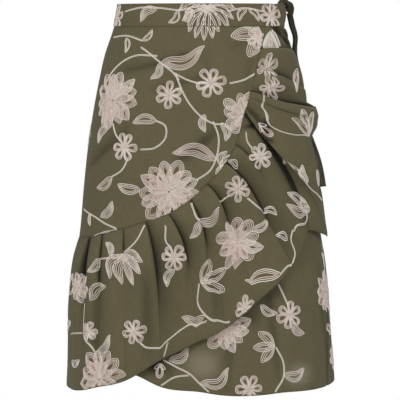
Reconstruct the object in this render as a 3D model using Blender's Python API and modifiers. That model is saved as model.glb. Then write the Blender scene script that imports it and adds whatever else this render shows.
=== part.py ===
"""Knee-length wrap skirt with a cascading flounce, in metres, +Z up.

The skirt keeps the hollow form of a worn garment.  Its origin is the middle of the waist, level
with the top of the waistband; the front faces -Y and the wearer's left hip is at +X.

Angles are turned round +Z from the front: 0 is the middle of the front, +90 the wearer's left
side, 180 the back and -90 the wearer's right side.  The cloth is one spiral, like the real wrap:
a turn of -60 to 90 degrees is the underwrap, 90 to 270 the back and 270 to 450 the overwrap.
"""
import math

import bmesh
import bpy
import numpy as np

# ---- driving dimensions -------------------------------------------------------------------
BAND_HEIGHT = 0.034
CLOTH = 0.0015             # wall of a panel
BAND_CLOTH = 0.0019        # wall of the doubled waistband
SEAM_GAP = 0.0003
BAND_GAP = 0.0006          # from the band down to the panels, whose walls lean out
FLOUNCE_GAP = 0.0009       # from the overwrap's curved edge to the flounce
SQUARENESS = 2.25          # 2 is an ellipse; more is flatter in front and behind

UNDERWRAP_EDGE = -60.0     # turn of the underwrap's free edge, under the overwrap
LEFT_SEAM = 90.0           # turn of the side seam at the wearer's left
RIGHT_SEAM = 270.0         # turn of the side seam at the wearer's right
BAND_START = -66.0         # turns of the ends of the waistband
BAND_END = 448.0
BAND_LAP = 0.0024          # from the inner to the outer lap of the band, middle to middle
LEFT_CROSSING = (60.0, 130.0)    # turns over which the wrap moves from its inner lap outwards
RIGHT_CROSSING = (195.0, 268.0)  # turns over which it moves on to its outer lap

COLUMNS_UNDERWRAP = 34
COLUMNS_BACK = 40
COLUMNS_OVERWRAP = 46
COLUMNS_BAND = 120
ROWS_PANEL = 12
ROWS_OVERWRAP = 9
ROWS_BAND = 2

# Cross-sections of the body of the skirt.
SECTION_COLUMNS = ("height", "half_width", "front_depth", "back_depth")
SECTIONS = (
    (0.000, 0.1252, 0.092, 0.098),
    (-0.034, 0.1312, 0.098, 0.104),
    (-0.075, 0.1442, 0.106, 0.114),
    (-0.116, 0.1530, 0.113, 0.123),
    (-0.165, 0.1620, 0.118, 0.129),
    (-0.220, 0.1702, 0.122, 0.133),
    (-0.280, 0.1765, 0.126, 0.136),
    (-0.350, 0.1830, 0.130, 0.139),
    (-0.387, 0.1893, 0.132, 0.141),
    (-0.430, 0.1932, 0.135, 0.143),
    (-0.510, 0.1990, 0.140, 0.147),
    (-0.580, 0.2037, 0.144, 0.150),
)

# Distance from the inner lap to the outer lap, down the skirt.
LAP_COLUMNS = ("height", "lap")
LAPS = ((0.0, 0.0022), (-0.034, 0.0022), (-0.10, 0.0040), (-0.30, 0.0056), (-0.60, 0.0064))

# Soft upright folds of the body, which open towards the hem.
FLARE_COLUMNS = ("angle", "spread", "rise_at_hem")
FLARES = (
    (8.0, 9.0, 0.0055),
    (33.0, 10.0, -0.0035),
    (50.0, 8.0, 0.0060),
    (84.0, 15.0, 0.0030),
    (112.0, 9.0, 0.0060),
    (134.0, 11.0, -0.0045),
    (158.0, 11.0, 0.0075),
    (183.0, 12.0, -0.0050),
    (206.0, 11.0, 0.0070),
    (230.0, 10.0, -0.0045),
    (250.0, 8.0, 0.0055),
)
FLARE_TOP = -0.22          # the folds are gone above this height
FLARE_CURVE = 1.4          # how they open on the way down: 1 is straight, more opens late
HEM = -0.580               # height where they have their full rise, which grows a little below it
FLARE_MOST = 1.1

# The cloth is drawn in under the knot: angle, spread, height, spread in height and depth.
TUCK = dict(angle=91.0, spread=19.0, height=-0.060, tall=0.038, depth=0.0092)

# Lower edge of the underwrap and the back.
HEMLINE_COLUMNS = ("turn", "height")
HEMLINE = (
    (-60.0, -0.536),
    (-37.0, -0.546),
    (-24.0, -0.561),
    (0.0, -0.568),
    (22.0, -0.575),
    (36.0, -0.575),
    (46.0, -0.572),
    (63.0, -0.574),
    (90.0, -0.571),
    (140.0, -0.571),
    (200.0, -0.571),
    (270.0, -0.574),
)

# The flounce.  Each row is one fold line, from its seam on the overwrap's edge to its outer hem.
# The valley is the line's own rise over the cloth below, halfway and at the hem; the crest is
# the rise of the fold that follows it, and lean tips that fold towards the next line (+) or
# back over its own line (-).  Steps are the columns from this line to the next.
FLOUNCE_COLUMNS = (
    "seam_angle", "seam_height", "mid_angle", "mid_height", "hem_angle", "hem_height",
    "valley_mid", "valley_hem", "crest_mid", "crest_hem", "lean", "steps",
)
FLOUNCE = (
    (52.2, -0.0350, 56.0, -0.0500, 60.5, -0.0655, 0.0000, 0.0010, 0.0020, 0.0030, 0.3, 5),
    (44.6, -0.0670, 57.0, -0.0665, 80.0, -0.0700, 0.0000, 0.0000, 0.0120, 0.0060, 0.4, 9),
    (39.0, -0.0970, 53.5, -0.1070, 79.0, -0.1280, 0.0000, 0.0000, 0.0050, 0.0020, 0.6, 4),
    (36.8, -0.1120, 53.5, -0.1260, 78.5, -0.1500, 0.0105, 0.0000, 0.0020, 0.0000, 0.5, 4),
    (34.4, -0.1280, 54.0, -0.1455, 88.0, -0.1630, 0.0000, 0.0140, 0.0050, 0.0000, 0.3, 4),
    (33.0, -0.1370, 60.0, -0.1650, 88.5, -0.1780, 0.0110, 0.0070, 0.0000, 0.0000, 0.0, 3),
    (32.0, -0.1440, 62.5, -0.1880, 84.5, -0.1955, 0.0130, -0.0005, 0.0000, 0.0000, 0.0, 4),
    (31.0, -0.1500, 64.0, -0.2180, 86.5, -0.2850, 0.0165, 0.0005, 0.0000, 0.0000, 0.2, 4),
    (30.0, -0.1550, 58.5, -0.2400, 81.5, -0.3450, 0.0170, 0.0075, 0.0030, 0.0010, 0.6, 6),
    (29.2, -0.1585, 51.5, -0.2350, 65.8, -0.3360, 0.0000, 0.0000, 0.0060, 0.0060, 0.0, 8),
    (22.8, -0.2065, 38.5, -0.2620, 58.5, -0.3620, 0.0060, 0.0040, 0.0060, 0.0040, 0.0, 7),
    (16.2, -0.2325, 33.5, -0.2880, 51.5, -0.3860, 0.0000, 0.0020, 0.0130, 0.0050, -0.5, 8),
    (3.6, -0.2640, 18.0, -0.3250, 31.6, -0.4380, 0.0000, 0.0030, 0.0130, 0.0050, -0.5, 8),
    (-7.4, -0.2865, 5.0, -0.3670, 13.8, -0.4735, 0.0000, 0.0030, 0.0130, 0.0050, -0.5, 8),
    (-21.0, -0.3070, -8.0, -0.3850, -3.8, -0.4945, 0.0000, 0.0030, 0.0130, 0.0050, -0.5, 8),
    (-34.4, -0.3195, -27.0, -0.4050, -24.2, -0.5215, 0.0000, 0.0040, 0.0120, 0.0050, -0.4, 8),
    (-47.0, -0.3310, -44.5, -0.4330, -41.8, -0.5535, 0.0000, 0.0040, 0.0120, 0.0050, -0.4, 8),
    (-59.5, -0.3405, -58.3, -0.4450, -55.6, -0.5665, 0.0000, 0.0030, 0.0100, 0.0040, -0.4, 7),
    (-68.0, -0.3475, -67.5, -0.4550, -65.0, -0.5755, 0.0000, 0.0005, 0.0090, 0.0020, -0.4, 7),
    (-79.0, -0.3505, -78.0, -0.4600, -77.5, -0.5805, 0.0015, -0.0020, 0.0050, 0.0010, 0.0, 7),
    (-89.8, -0.3520, -89.8, -0.4620, -89.8, -0.5790, 0.0000, 0.0000, 0.0000, 0.0000, 0.0, 0),
)
# Rows of the flounce from seam to hem, and how much of the halfway and hem rise each has.
FLOUNCE_ROW_COLUMNS = ("across", "of_mid", "of_hem")
FLOUNCE_ROWS = (
    (0.000, 0.00, 0.00),
    (0.014, 0.00, 0.00),
    (0.060, 0.34, 0.00),
    (0.130, 0.66, 0.00),
    (0.220, 0.88, 0.00),
    (0.340, 1.00, 0.00),
    (0.500, 1.00, 0.00),
    (0.640, 0.70, 0.30),
    (0.760, 0.44, 0.56),
    (0.880, 0.18, 0.82),
    (1.000, 0.00, 1.00),
)
FOLD_SHARPNESS = 0.60      # 1 is a sine, less has a narrower valley
STEEPEST = 1.35            # steepest side of a fold: rise over the distance from its valley

# Ties.  Each row places the middle of the strap over the body at an angle and a height.  Twist
# is 0 where the strap lies flat to the body and 90 where it stands on its edge.
STRAP_CLOTH = 0.0018
STRAP_STEPS = 34
STRAP_COLUMNS = ("angle", "height", "out", "width", "twist")
FRONT_TAIL = (
    (90.8, -0.0134, 0.0080, 0.0095, 68.0),
    (89.8, -0.0300, 0.0116, 0.0095, 66.0),
    (90.4, -0.0500, 0.0134, 0.0090, 58.0),
    (94.5, -0.0780, 0.0066, 0.0095, 16.0),
    (100.5, -0.1060, 0.0040, 0.0115, 8.0),
    (104.0, -0.1400, 0.0036, 0.0140, 4.0),
    (104.8, -0.1750, 0.0040, 0.0170, 8.0),
    (103.0, -0.2050, 0.0068, 0.0195, 30.0),
    (101.0, -0.2420, 0.0104, 0.0215, 48.0),
    (99.5, -0.2780, 0.0122, 0.0220, 54.0),
)
BACK_TAIL = (
    (94.0, -0.0132, 0.0062, 0.0095, 10.0),
    (98.0, -0.0300, 0.0095, 0.0095, 6.0),
    (103.0, -0.0520, 0.0090, 0.0105, 4.0),
    (109.5, -0.0800, 0.0042, 0.0135, 0.0),
    (114.5, -0.1150, 0.0034, 0.0175, 0.0),
    (117.0, -0.1550, 0.0034, 0.0205, 0.0),
    (118.0, -0.1950, 0.0036, 0.0220, 0.0),
    (118.5, -0.2300, 0.0038, 0.0220, 0.0),
)
TAIL_SLANT = dict(drop=0.5, length=12)   # how far the end is cut to a slant, and how late it starts
# The outer end of the band is gathered into the knot: its top puckers up between two turns, and
# its lower corner is drawn up from a third turn on.
BAND_GATHER = dict(start=427.0, full=437.0, pucker=0.0046, corner=432.0, cut=0.017)

# The knot: a lump of two wraps at the top of the band's end.  Size is out from the body, round it
# and tall.  The waist between the wraps is as deep and as tall as its share of the knot says.
KNOT_PLACE = dict(angle=91.1, height=-0.0045, out=0.0067)
KNOT_SIZE = (0.0126, 0.0220, 0.0172)
KNOT_WAIST = dict(depth=0.22, tall=0.16)
KNOT_LEAN = 0.16           # its top leans in over the band by this share of its height
KNOT_SEGMENTS = 16
KNOT_RINGS = 10

# Finishes: colour, roughness.
CLOTH_COLOUR = (0.098, 0.088, 0.050, 1.0)
UNDER_COLOUR = (0.086, 0.078, 0.045, 1.0)
TIE_COLOUR = (0.078, 0.072, 0.045, 1.0)
CLOTH_ROUGHNESS = 0.86


# ---- helpers ------------------------------------------------------------------------------
def column(table, names, name):
    """One named column of a table, as an array."""
    return np.array([row[names.index(name)] for row in table], float)


def smooth(at, stations, values):
    """A smooth curve through values at rising or falling stations, read at the given places."""
    stations = np.asarray(stations, float)
    values = np.asarray(values, float)
    if stations[0] > stations[-1]:
        stations = stations[::-1]
        values = values[::-1]
    slopes = np.gradient(values, stations)
    at = np.clip(at, stations[0], stations[-1])
    left = np.clip(np.searchsorted(stations, at) - 1, 0, len(stations) - 2)
    span = stations[left + 1] - stations[left]
    t = (at - stations[left]) / span
    start = (2 * t**3 - 3 * t**2 + 1) * values[left] + (t**3 - 2 * t**2 + t) * span * slopes[left]
    end = (3 * t**2 - 2 * t**3) * values[left + 1] + (t**3 - t**2) * span * slopes[left + 1]
    return start + end


def ease(value, low, high):
    """0 below low, 1 above high, with a smooth step between."""
    t = np.clip((value - low) / (high - low), 0, 1)
    return t * t * (3 - 2 * t)


def spiral(turn):
    """-0.5 on the inner lap, 0 on the back, +0.5 on the outer lap."""
    return -0.5 + 0.5 * ease(turn, *LEFT_CROSSING) + 0.5 * ease(turn, *RIGHT_CROSSING)


def lap(height):
    """The distance from the inner lap to the outer lap at a height."""
    return smooth(height, column(LAPS, LAP_COLUMNS, "height"), column(LAPS, LAP_COLUMNS, "lap"))


def flare(angle, height):
    """How far the soft folds and the tuck under the knot move the cloth out."""
    out = np.zeros(np.broadcast(angle, height).shape)
    for fold_angle, spread, rise in FLARES:
        away = (angle - fold_angle + 180) % 360 - 180
        out = out + rise * np.exp(-((away / spread) ** 2))
    down = np.clip((FLARE_TOP - height) / (FLARE_TOP - HEM), 0, FLARE_MOST)
    away = (angle - TUCK["angle"] + 180) % 360 - 180
    near = np.exp(-((away / TUCK["spread"]) ** 2) - ((height - TUCK["height"]) / TUCK["tall"]) ** 2)
    return out * down**FLARE_CURVE - TUCK["depth"] * near


def on_body(angle, height, out=0.0):
    """Points on the skirt's body at an angle and a height, moved out; the last axis is x, y, z."""
    angle, height, out = np.broadcast_arrays(angle, height, out)
    heights = column(SECTIONS, SECTION_COLUMNS, "height")
    wide = smooth(height, heights, column(SECTIONS, SECTION_COLUMNS, "half_width"))
    front = smooth(height, heights, column(SECTIONS, SECTION_COLUMNS, "front_depth"))
    back = smooth(height, heights, column(SECTIONS, SECTION_COLUMNS, "back_depth"))
    sine = np.sin(np.radians(angle))
    cosine = np.cos(np.radians(angle))
    deep = np.where(cosine > 0, front, back)
    power = SQUARENESS
    radius = (np.abs(sine / wide) ** power + np.abs(cosine / deep) ** power) ** (-1 / power)
    x = radius * sine
    y = -radius * cosine
    out_x = np.sign(x) * np.abs(x) ** (power - 1) / wide**power
    out_y = np.sign(y) * np.abs(y) ** (power - 1) / deep**power
    length = np.hypot(out_x, out_y)
    out = out + flare(angle, height)
    return np.stack([x + out * out_x / length, y + out * out_y / length, height], axis=-1)


def finish(name, colour):
    """A plain cloth material."""
    material = bpy.data.materials.new(name)
    material.use_nodes = True
    shader = material.node_tree.nodes["Principled BSDF"]
    shader.inputs["Base Color"].default_value = colour
    shader.inputs["Roughness"].default_value = CLOTH_ROUGHNESS
    shader.inputs["Metallic"].default_value = 0.0
    return material


def cloth(name, grid, thickness, colour):
    """A cloth wall on a grid of points: rows run down the cloth, columns run round to the left."""
    rows, columns, _ = grid.shape
    first = np.arange(rows - 1)[:, None] * columns + np.arange(columns - 1)[None, :]
    faces = np.stack([first, first + columns, first + columns + 1, first + 1], axis=-1)
    mesh = bpy.data.meshes.new(name)
    mesh.from_pydata(grid.reshape(-1, 3).tolist(), [], faces.reshape(-1, 4).tolist())
    mesh.update()
    mesh.shade_smooth()
    part = bpy.data.objects.new(name, mesh)
    mesh.materials.append(finish(name + "_cloth", colour))
    wall = part.modifiers.new("Wall", "SOLIDIFY")
    wall.thickness = thickness
    wall.offset = 0.0
    wall.use_even_offset = False
    SKIRT.objects.link(part)
    return part


# ---- panels -------------------------------------------------------------------------------
def panel(name, start, end, columns, colour):
    """A panel from the band to the hem between two turns of the wrap."""
    seam = math.degrees(SEAM_GAP / 2 / column(SECTIONS, SECTION_COLUMNS, "half_width")[0])
    turn = np.linspace(start + seam, end - seam, columns + 1)[None, :]
    hem = smooth(turn, column(HEMLINE, HEMLINE_COLUMNS, "turn"),
                 column(HEMLINE, HEMLINE_COLUMNS, "height"))
    top = -BAND_HEIGHT - BAND_GAP
    down = np.linspace(0, 1, ROWS_PANEL + 1)[:, None]
    height = top + (hem - top) * down
    return cloth(name, on_body(turn, height, spiral(turn) * lap(height)), CLOTH, colour)


def waistband():
    """The doubled band, one spiral strip from its inner end to its outer end."""
    turn = np.linspace(BAND_START, BAND_END, COLUMNS_BAND + 1)[None, :]
    top = BAND_GATHER["pucker"] * ease(turn, BAND_GATHER["start"], BAND_GATHER["full"])
    bottom = -BAND_HEIGHT + BAND_GATHER["cut"] * ease(turn, BAND_GATHER["corner"], BAND_END) ** 2
    height = top + (bottom - top) * np.linspace(0, 1, ROWS_BAND + 1)[:, None]
    return cloth("waistband", on_body(turn, height, spiral(turn) * BAND_LAP), BAND_CLOTH, CLOTH_COLOUR)


# ---- flounce ------------------------------------------------------------------------------
def fold_lines():
    """Each column of the flounce table by name, with the lines' stations along the flounce."""
    lines = {name: column(FLOUNCE, FLOUNCE_COLUMNS, name) for name in FLOUNCE_COLUMNS}
    seam = on_body(lines["seam_angle"], lines["seam_height"])
    hem = on_body(lines["hem_angle"], lines["hem_height"])
    steps = np.linalg.norm(np.diff(seam, axis=0), axis=1) + np.linalg.norm(np.diff(hem, axis=0), axis=1)
    lines["station"] = np.concatenate([[0.0], np.cumsum(steps / 2)])
    return lines


def seam_at(station, lines):
    """Angle and height of the overwrap's edge, where the flounce is sewn on."""
    angle = smooth(station, lines["station"], lines["seam_angle"])
    height = smooth(station, lines["station"], lines["seam_height"])
    return angle, height


def flounce_place(station, across, lines):
    """Angle and height on the body of a point of the flounce, before it is folded.

    Each fold line is a parabola from its seam point through its halfway point to its hem point.
    """
    place = []
    for quantity in ("angle", "height"):
        seam, mid, hem = (
            smooth(station, lines["station"], lines[f"{part}_{quantity}"])
            for part in ("seam", "mid", "hem")
        )
        bow = 4 * across * (1 - across)
        place.append(seam * (1 - across) * (1 - 2 * across) + mid * bow + hem * across * (2 * across - 1))
    return place


def flounce():
    """The gathered flounce: a surface over the body, raised by one fold after each line."""
    lines = fold_lines()
    steps = lines["steps"].astype(int)
    before = np.append(np.repeat(np.arange(len(steps)), steps), len(steps) - 2)
    first = np.concatenate([[0], np.cumsum(steps)])
    along = (np.arange(len(before)) - first[before]) / steps[before]

    def between(name):
        """A quantity of the fold lines, drawn straight from each line to the next."""
        return lines[name][before] * (1 - along) + lines[name][before + 1] * along

    across = column(FLOUNCE_ROWS, FLOUNCE_ROW_COLUMNS, "across")[:, None]
    of_mid = column(FLOUNCE_ROWS, FLOUNCE_ROW_COLUMNS, "of_mid")[:, None]
    of_hem = column(FLOUNCE_ROWS, FLOUNCE_ROW_COLUMNS, "of_hem")[:, None]
    station = between("station")
    ends = [on_body(*flounce_place(station, end, lines)) for end in (0.0, 1.0)]
    start = FLOUNCE_GAP / np.linalg.norm(ends[1] - ends[0], axis=-1)
    angle, height = flounce_place(station, start + (1 - start) * across, lines)
    base = on_body(angle, height, lap(height) / 2)
    hump = np.sin(np.pi * along) ** FOLD_SHARPNESS
    rise = of_mid * (between("valley_mid") + lines["crest_mid"][before] * hump)
    rise = rise + of_hem * (between("valley_hem") + lines["crest_hem"][before] * hump)
    rise = held_by_valleys(rise, base, first[np.flatnonzero(lines["valley_mid"] == 0)], of_hem)
    sideways = np.gradient(base, axis=1)
    sideways /= np.linalg.norm(sideways, axis=-1, keepdims=True)
    folded = on_body(angle, height, lap(height) / 2 + rise)
    folded = folded + sideways * (rise * lines["lean"][before])[..., None]
    return cloth("flounce", folded[:, ::-1], CLOTH, CLOTH_COLOUR)


def held_by_valleys(rise, base, valleys, of_hem):
    """The rise, with no side steeper than STEEPEST from a valley column; it is let go at the hem."""
    run = np.linalg.norm(np.diff(base, axis=1), axis=-1)
    run = np.concatenate([np.zeros((len(run), 1)), np.cumsum(run, axis=1)], axis=1)
    away = np.min([np.abs(run - run[:, [valley]]) for valley in valleys], axis=0)
    most = STEEPEST * away + of_hem * np.abs(rise) + 1e-6
    return most * np.tanh(rise / most)


def overwrap():
    """The front panel of the overwrap, from the band down to its curved edge."""
    lines = fold_lines()
    station = np.linspace(lines["station"][-1], 0, COLUMNS_OVERWRAP + 1)[None, :]
    angle, edge = seam_at(station, lines)
    top = -BAND_HEIGHT - BAND_GAP
    height = top + (edge - top) * np.linspace(0, 1, ROWS_OVERWRAP + 1)[:, None]
    return cloth("overwrap_front", on_body(angle, height, lap(height) / 2), CLOTH, CLOTH_COLOUR)


# ---- ties ---------------------------------------------------------------------------------
def strap(name, route):
    """A flat tie along its route, as wide and twisted as its rows say, with a slanted end."""
    rows = np.linspace(0, 1, len(route))
    place = np.linspace(0, 1, STRAP_STEPS + 1)
    read = {name: smooth(place, rows, column(route, STRAP_COLUMNS, name)) for name in STRAP_COLUMNS}
    line = on_body(read["angle"], read["height"], read["out"])
    outward = np.radians(read["angle"] - read["twist"])
    side = np.stack([np.cos(outward), np.sin(outward), np.zeros_like(place)], -1)
    level = np.zeros_like(place)
    slant = np.stack([level, level, -TAIL_SLANT["drop"] * place ** TAIL_SLANT["length"]], -1)
    half = read["width"][:, None] / 2
    across = [line + (side + slant) * half * edge for edge in (-1.0, 0.0, 1.0)]
    return cloth(name, np.stack(across, axis=1), STRAP_CLOTH, TIE_COLOUR)


def knot():
    """The knot of the ties: a ball drawn in round its middle, where the second tie wraps it."""
    mesh = bpy.data.meshes.new("tie_knot")
    ball = bmesh.new()
    bmesh.ops.create_uvsphere(ball, u_segments=KNOT_SEGMENTS, v_segments=KNOT_RINGS, radius=0.5)
    for point in ball.verts:
        drawn_in = 1 - KNOT_WAIST["depth"] * math.exp(-((point.co.z / KNOT_WAIST["tall"]) ** 2))
        point.co.z *= KNOT_SIZE[2]
        point.co.y *= KNOT_SIZE[1] * drawn_in
        point.co.x = point.co.x * KNOT_SIZE[0] * drawn_in - KNOT_LEAN * point.co.z
    ball.to_mesh(mesh)
    ball.free()
    mesh.shade_smooth()
    mesh.materials.append(finish("tie_knot_cloth", TIE_COLOUR))
    part = bpy.data.objects.new("tie_knot", mesh)
    part.location = on_body(KNOT_PLACE["angle"], KNOT_PLACE["height"], KNOT_PLACE["out"])
    SKIRT.objects.link(part)
    return part


# ---- build --------------------------------------------------------------------------------
for old in list(bpy.data.objects):
    bpy.data.objects.remove(old, do_unlink=True)

SKIRT = bpy.data.collections.new("wrap_skirt")
bpy.context.scene.collection.children.link(SKIRT)

waistband()
panel("underwrap_front", UNDERWRAP_EDGE, LEFT_SEAM, COLUMNS_UNDERWRAP, UNDER_COLOUR)
panel("back_panel", LEFT_SEAM, RIGHT_SEAM, COLUMNS_BACK, CLOTH_COLOUR)
overwrap()
flounce()
knot()
strap("tie_tail_front", FRONT_TAIL)
strap("tie_tail_back", BACK_TAIL)
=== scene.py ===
"""The dressed wrap skirt: cloth, folds, embroidery, stitching, ties and a plain studio.

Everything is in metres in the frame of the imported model: +Z up, the front faces -Y, and the origin
is the middle of the waist.  Angles are degrees round +Z from the front, with +90 at the wearer's
left hip.  The cloth is one spiral, as the real wrap is: a turn of -60 to 90 is the underwrap, 90 to
270 the back and 270 to 450 the overwrap.
"""
from __future__ import annotations

import logging
import math
from dataclasses import dataclass, field
from enum import Enum

import bpy
import numpy as np
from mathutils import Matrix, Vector


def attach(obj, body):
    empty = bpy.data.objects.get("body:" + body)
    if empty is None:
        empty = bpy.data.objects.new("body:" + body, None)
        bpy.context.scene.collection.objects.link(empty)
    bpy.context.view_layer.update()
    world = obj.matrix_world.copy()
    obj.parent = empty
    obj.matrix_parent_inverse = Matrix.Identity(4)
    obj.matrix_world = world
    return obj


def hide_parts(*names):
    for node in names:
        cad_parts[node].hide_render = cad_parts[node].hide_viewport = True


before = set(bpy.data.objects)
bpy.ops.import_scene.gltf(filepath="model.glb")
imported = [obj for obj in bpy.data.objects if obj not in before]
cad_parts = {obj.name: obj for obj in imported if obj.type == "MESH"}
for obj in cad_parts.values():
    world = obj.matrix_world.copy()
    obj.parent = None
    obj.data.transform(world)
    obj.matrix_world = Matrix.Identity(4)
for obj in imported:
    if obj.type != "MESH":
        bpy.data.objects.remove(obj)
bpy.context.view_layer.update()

Array = np.ndarray
Place = tuple[float, float]
LOG = logging.getLogger("wrap_skirt")
BODY = "root"
MM = 0.001
HEM_ROOM = 0.15 * MM       # between a wall and its turned-up hem

# ---- sizes of the skirt, as the solids have them ----
BAND_HEIGHT = 0.034
BAND_LAP = 0.0024
UNDERWRAP_EDGE = -60.0
LEFT_SEAM = 90.0
RIGHT_SEAM = 270.0
BAND_START = -66.0
BAND_END = 448.0

# Height, half width, depth in front and depth behind of the body's cross-sections.
SECTIONS = (
    (0.000, 0.1252, 0.092, 0.098),
    (-0.034, 0.1312, 0.098, 0.104),
    (-0.075, 0.1442, 0.106, 0.114),
    (-0.116, 0.1530, 0.113, 0.123),
    (-0.165, 0.1620, 0.118, 0.129),
    (-0.220, 0.1702, 0.122, 0.133),
    (-0.280, 0.1765, 0.126, 0.136),
    (-0.350, 0.1830, 0.130, 0.139),
    (-0.387, 0.1893, 0.132, 0.141),
    (-0.430, 0.1932, 0.135, 0.143),
    (-0.510, 0.1990, 0.140, 0.147),
    (-0.580, 0.2037, 0.144, 0.150),
)
# Height, and the distance from the inner lap to the outer lap.
LAPS = ((0.0, 0.0022), (-0.034, 0.0022), (-0.10, 0.0040), (-0.30, 0.0056), (-0.60, 0.0064))
# Angle, spread and rise at the hem of the body's soft upright folds.
FLARES = (
    (8.0, 9.0, 0.0055), (33.0, 10.0, -0.0035), (50.0, 8.0, 0.0060), (84.0, 15.0, 0.0030),
    (112.0, 9.0, 0.0060), (134.0, 11.0, -0.0045), (158.0, 11.0, 0.0075), (183.0, 12.0, -0.0050),
    (206.0, 11.0, 0.0070), (230.0, 10.0, -0.0045), (250.0, 8.0, 0.0055),
)
# Turn and height of the lower edge of the underwrap and the back.  Another program worked out about
# half of these places, and in FLOUNCE most of those at the seam and some of those at the hem, from
# points in the front view.  Part of them were moved later.
HEMLINE = (
    (-60.0, -0.536), (-37.0, -0.546), (-24.0, -0.561), (0.0, -0.568), (22.0, -0.575),
    (36.0, -0.575), (46.0, -0.572), (63.0, -0.574), (90.0, -0.571), (140.0, -0.571),
    (200.0, -0.571), (270.0, -0.574),
)
# The flounce's fold lines.  Angle and height at the seam, halfway and at the hem; the line's own
# rise halfway and at the hem; the rise of the fold after it there; its lean; the steps to the next.
FLOUNCE = (
    (52.2, -0.0330, 64.0, -0.0330, 77.0, -0.0385, 0.0000, 0.0005, 0.0020, 0.0020, 0.3, 7),
    (44.6, -0.0670, 57.0, -0.0665, 80.0, -0.0700, 0.0000, 0.0000, 0.0120, 0.0030, 0.4, 9),
    (39.0, -0.0970, 53.5, -0.1070, 79.0, -0.1280, 0.0000, 0.0000, 0.0050, 0.0020, 0.6, 4),
    (36.8, -0.1120, 53.5, -0.1260, 78.5, -0.1500, 0.0105, 0.0000, 0.0020, 0.0000, 0.5, 4),
    (34.4, -0.1280, 54.0, -0.1455, 88.0, -0.1630, 0.0000, 0.0125, 0.0090, 0.0000, 0.3, 4),
    (33.0, -0.1370, 60.0, -0.1650, 88.5, -0.1710, 0.0110, 0.0125, 0.0000, 0.0000, 0.0, 3),
    (32.0, -0.1440, 62.5, -0.1880, 76.5, -0.1975, 0.0130, 0.0005, 0.0000, 0.0000, 0.0, 4),
    (31.0, -0.1500, 64.0, -0.2180, 82.5, -0.2850, 0.0175, 0.0010, 0.0000, 0.0000, 0.2, 4),
    (30.0, -0.1550, 58.5, -0.2400, 81.5, -0.3450, 0.0195, 0.0075, 0.0030, 0.0010, 0.6, 6),
    (29.2, -0.1585, 51.5, -0.2350, 65.8, -0.3360, 0.0000, 0.0000, 0.0060, 0.0060, 0.0, 8),
    (22.8, -0.2065, 38.5, -0.2620, 58.5, -0.3620, 0.0060, 0.0040, 0.0060, 0.0040, 0.0, 7),
    (16.2, -0.2325, 33.5, -0.2880, 51.5, -0.3860, 0.0000, 0.0020, 0.0130, 0.0050, -0.5, 8),
    (3.6, -0.2640, 18.0, -0.3250, 31.6, -0.4380, 0.0000, 0.0030, 0.0130, 0.0050, -0.5, 8),
    (-7.4, -0.2865, 5.0, -0.3670, 13.8, -0.4735, 0.0000, 0.0030, 0.0130, 0.0050, -0.5, 8),
    (-21.0, -0.3070, -8.0, -0.3850, -3.8, -0.4945, 0.0000, 0.0030, 0.0130, 0.0050, -0.5, 8),
    (-34.4, -0.3195, -27.0, -0.4050, -24.2, -0.5215, 0.0000, 0.0040, 0.0120, 0.0050, -0.4, 8),
    (-47.0, -0.3310, -44.5, -0.4330, -41.8, -0.5535, 0.0000, 0.0040, 0.0120, 0.0050, -0.4, 8),
    (-59.5, -0.3405, -58.3, -0.4450, -55.6, -0.5665, 0.0000, 0.0030, 0.0100, 0.0040, -0.4, 7),
    (-68.0, -0.3475, -67.5, -0.4550, -65.0, -0.5755, 0.0000, 0.0005, 0.0090, 0.0020, -0.4, 7),
    (-79.0, -0.3505, -78.0, -0.4600, -77.5, -0.5805, 0.0015, -0.0020, 0.0050, 0.0010, 0.0, 7),
    (-89.8, -0.3520, -89.8, -0.4620, -89.8, -0.5790, 0.0000, 0.0000, 0.0000, 0.0000, 0.0, 0),
)
# Share of the way from seam to hem, and how much of the halfway and hem rise the fold has there.
FOLD_REACH = (
    (0.00, 0.00, 0.00), (0.06, 0.34, 0.00), (0.13, 0.66, 0.00), (0.22, 0.88, 0.00),
    (0.34, 1.00, 0.00), (0.50, 1.00, 0.00), (0.64, 0.70, 0.30), (0.76, 0.44, 0.56),
    (0.88, 0.18, 0.82), (1.00, 0.00, 1.00),
)
# How far down each of those lines its narrow valley lasts, as a share of the way to the hem.
VALLEY_REACH = (
    1.0, 1.0, 1.0, 1.0, 1.0, 1.0, 1.0, 1.0, 1.0, 0.60, 0.50, 0.76, 0.50, 0.42, 0.52, 0.80, 0.28, 0.42,
    0.60, 0.90, 1.0,
)
# How early each fold is highest (1 is in its middle, less is nearer its line), and how it leans:
# below 0 it tips back over its own line.
FOLD_SKEWS = (
    0.8, 0.55, 0.55, 0.7, 1.0, 1.0, 1.0, 1.0, 1.0, 0.8, 0.6, 0.6, 0.6, 0.6, 0.6, 0.65, 0.6, 0.7, 0.8,
    1.0, 1.0,
)
FOLD_LEANS = (
    -0.3, -0.7, -0.9, -0.9, -0.9, -0.2, -0.1, 0.4, 1.0, 0.0, -0.5, -0.8, -0.9, -0.9, -0.8, -0.6, -0.7,
    -0.6, -0.6, 0.0, 0.0,
)
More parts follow.
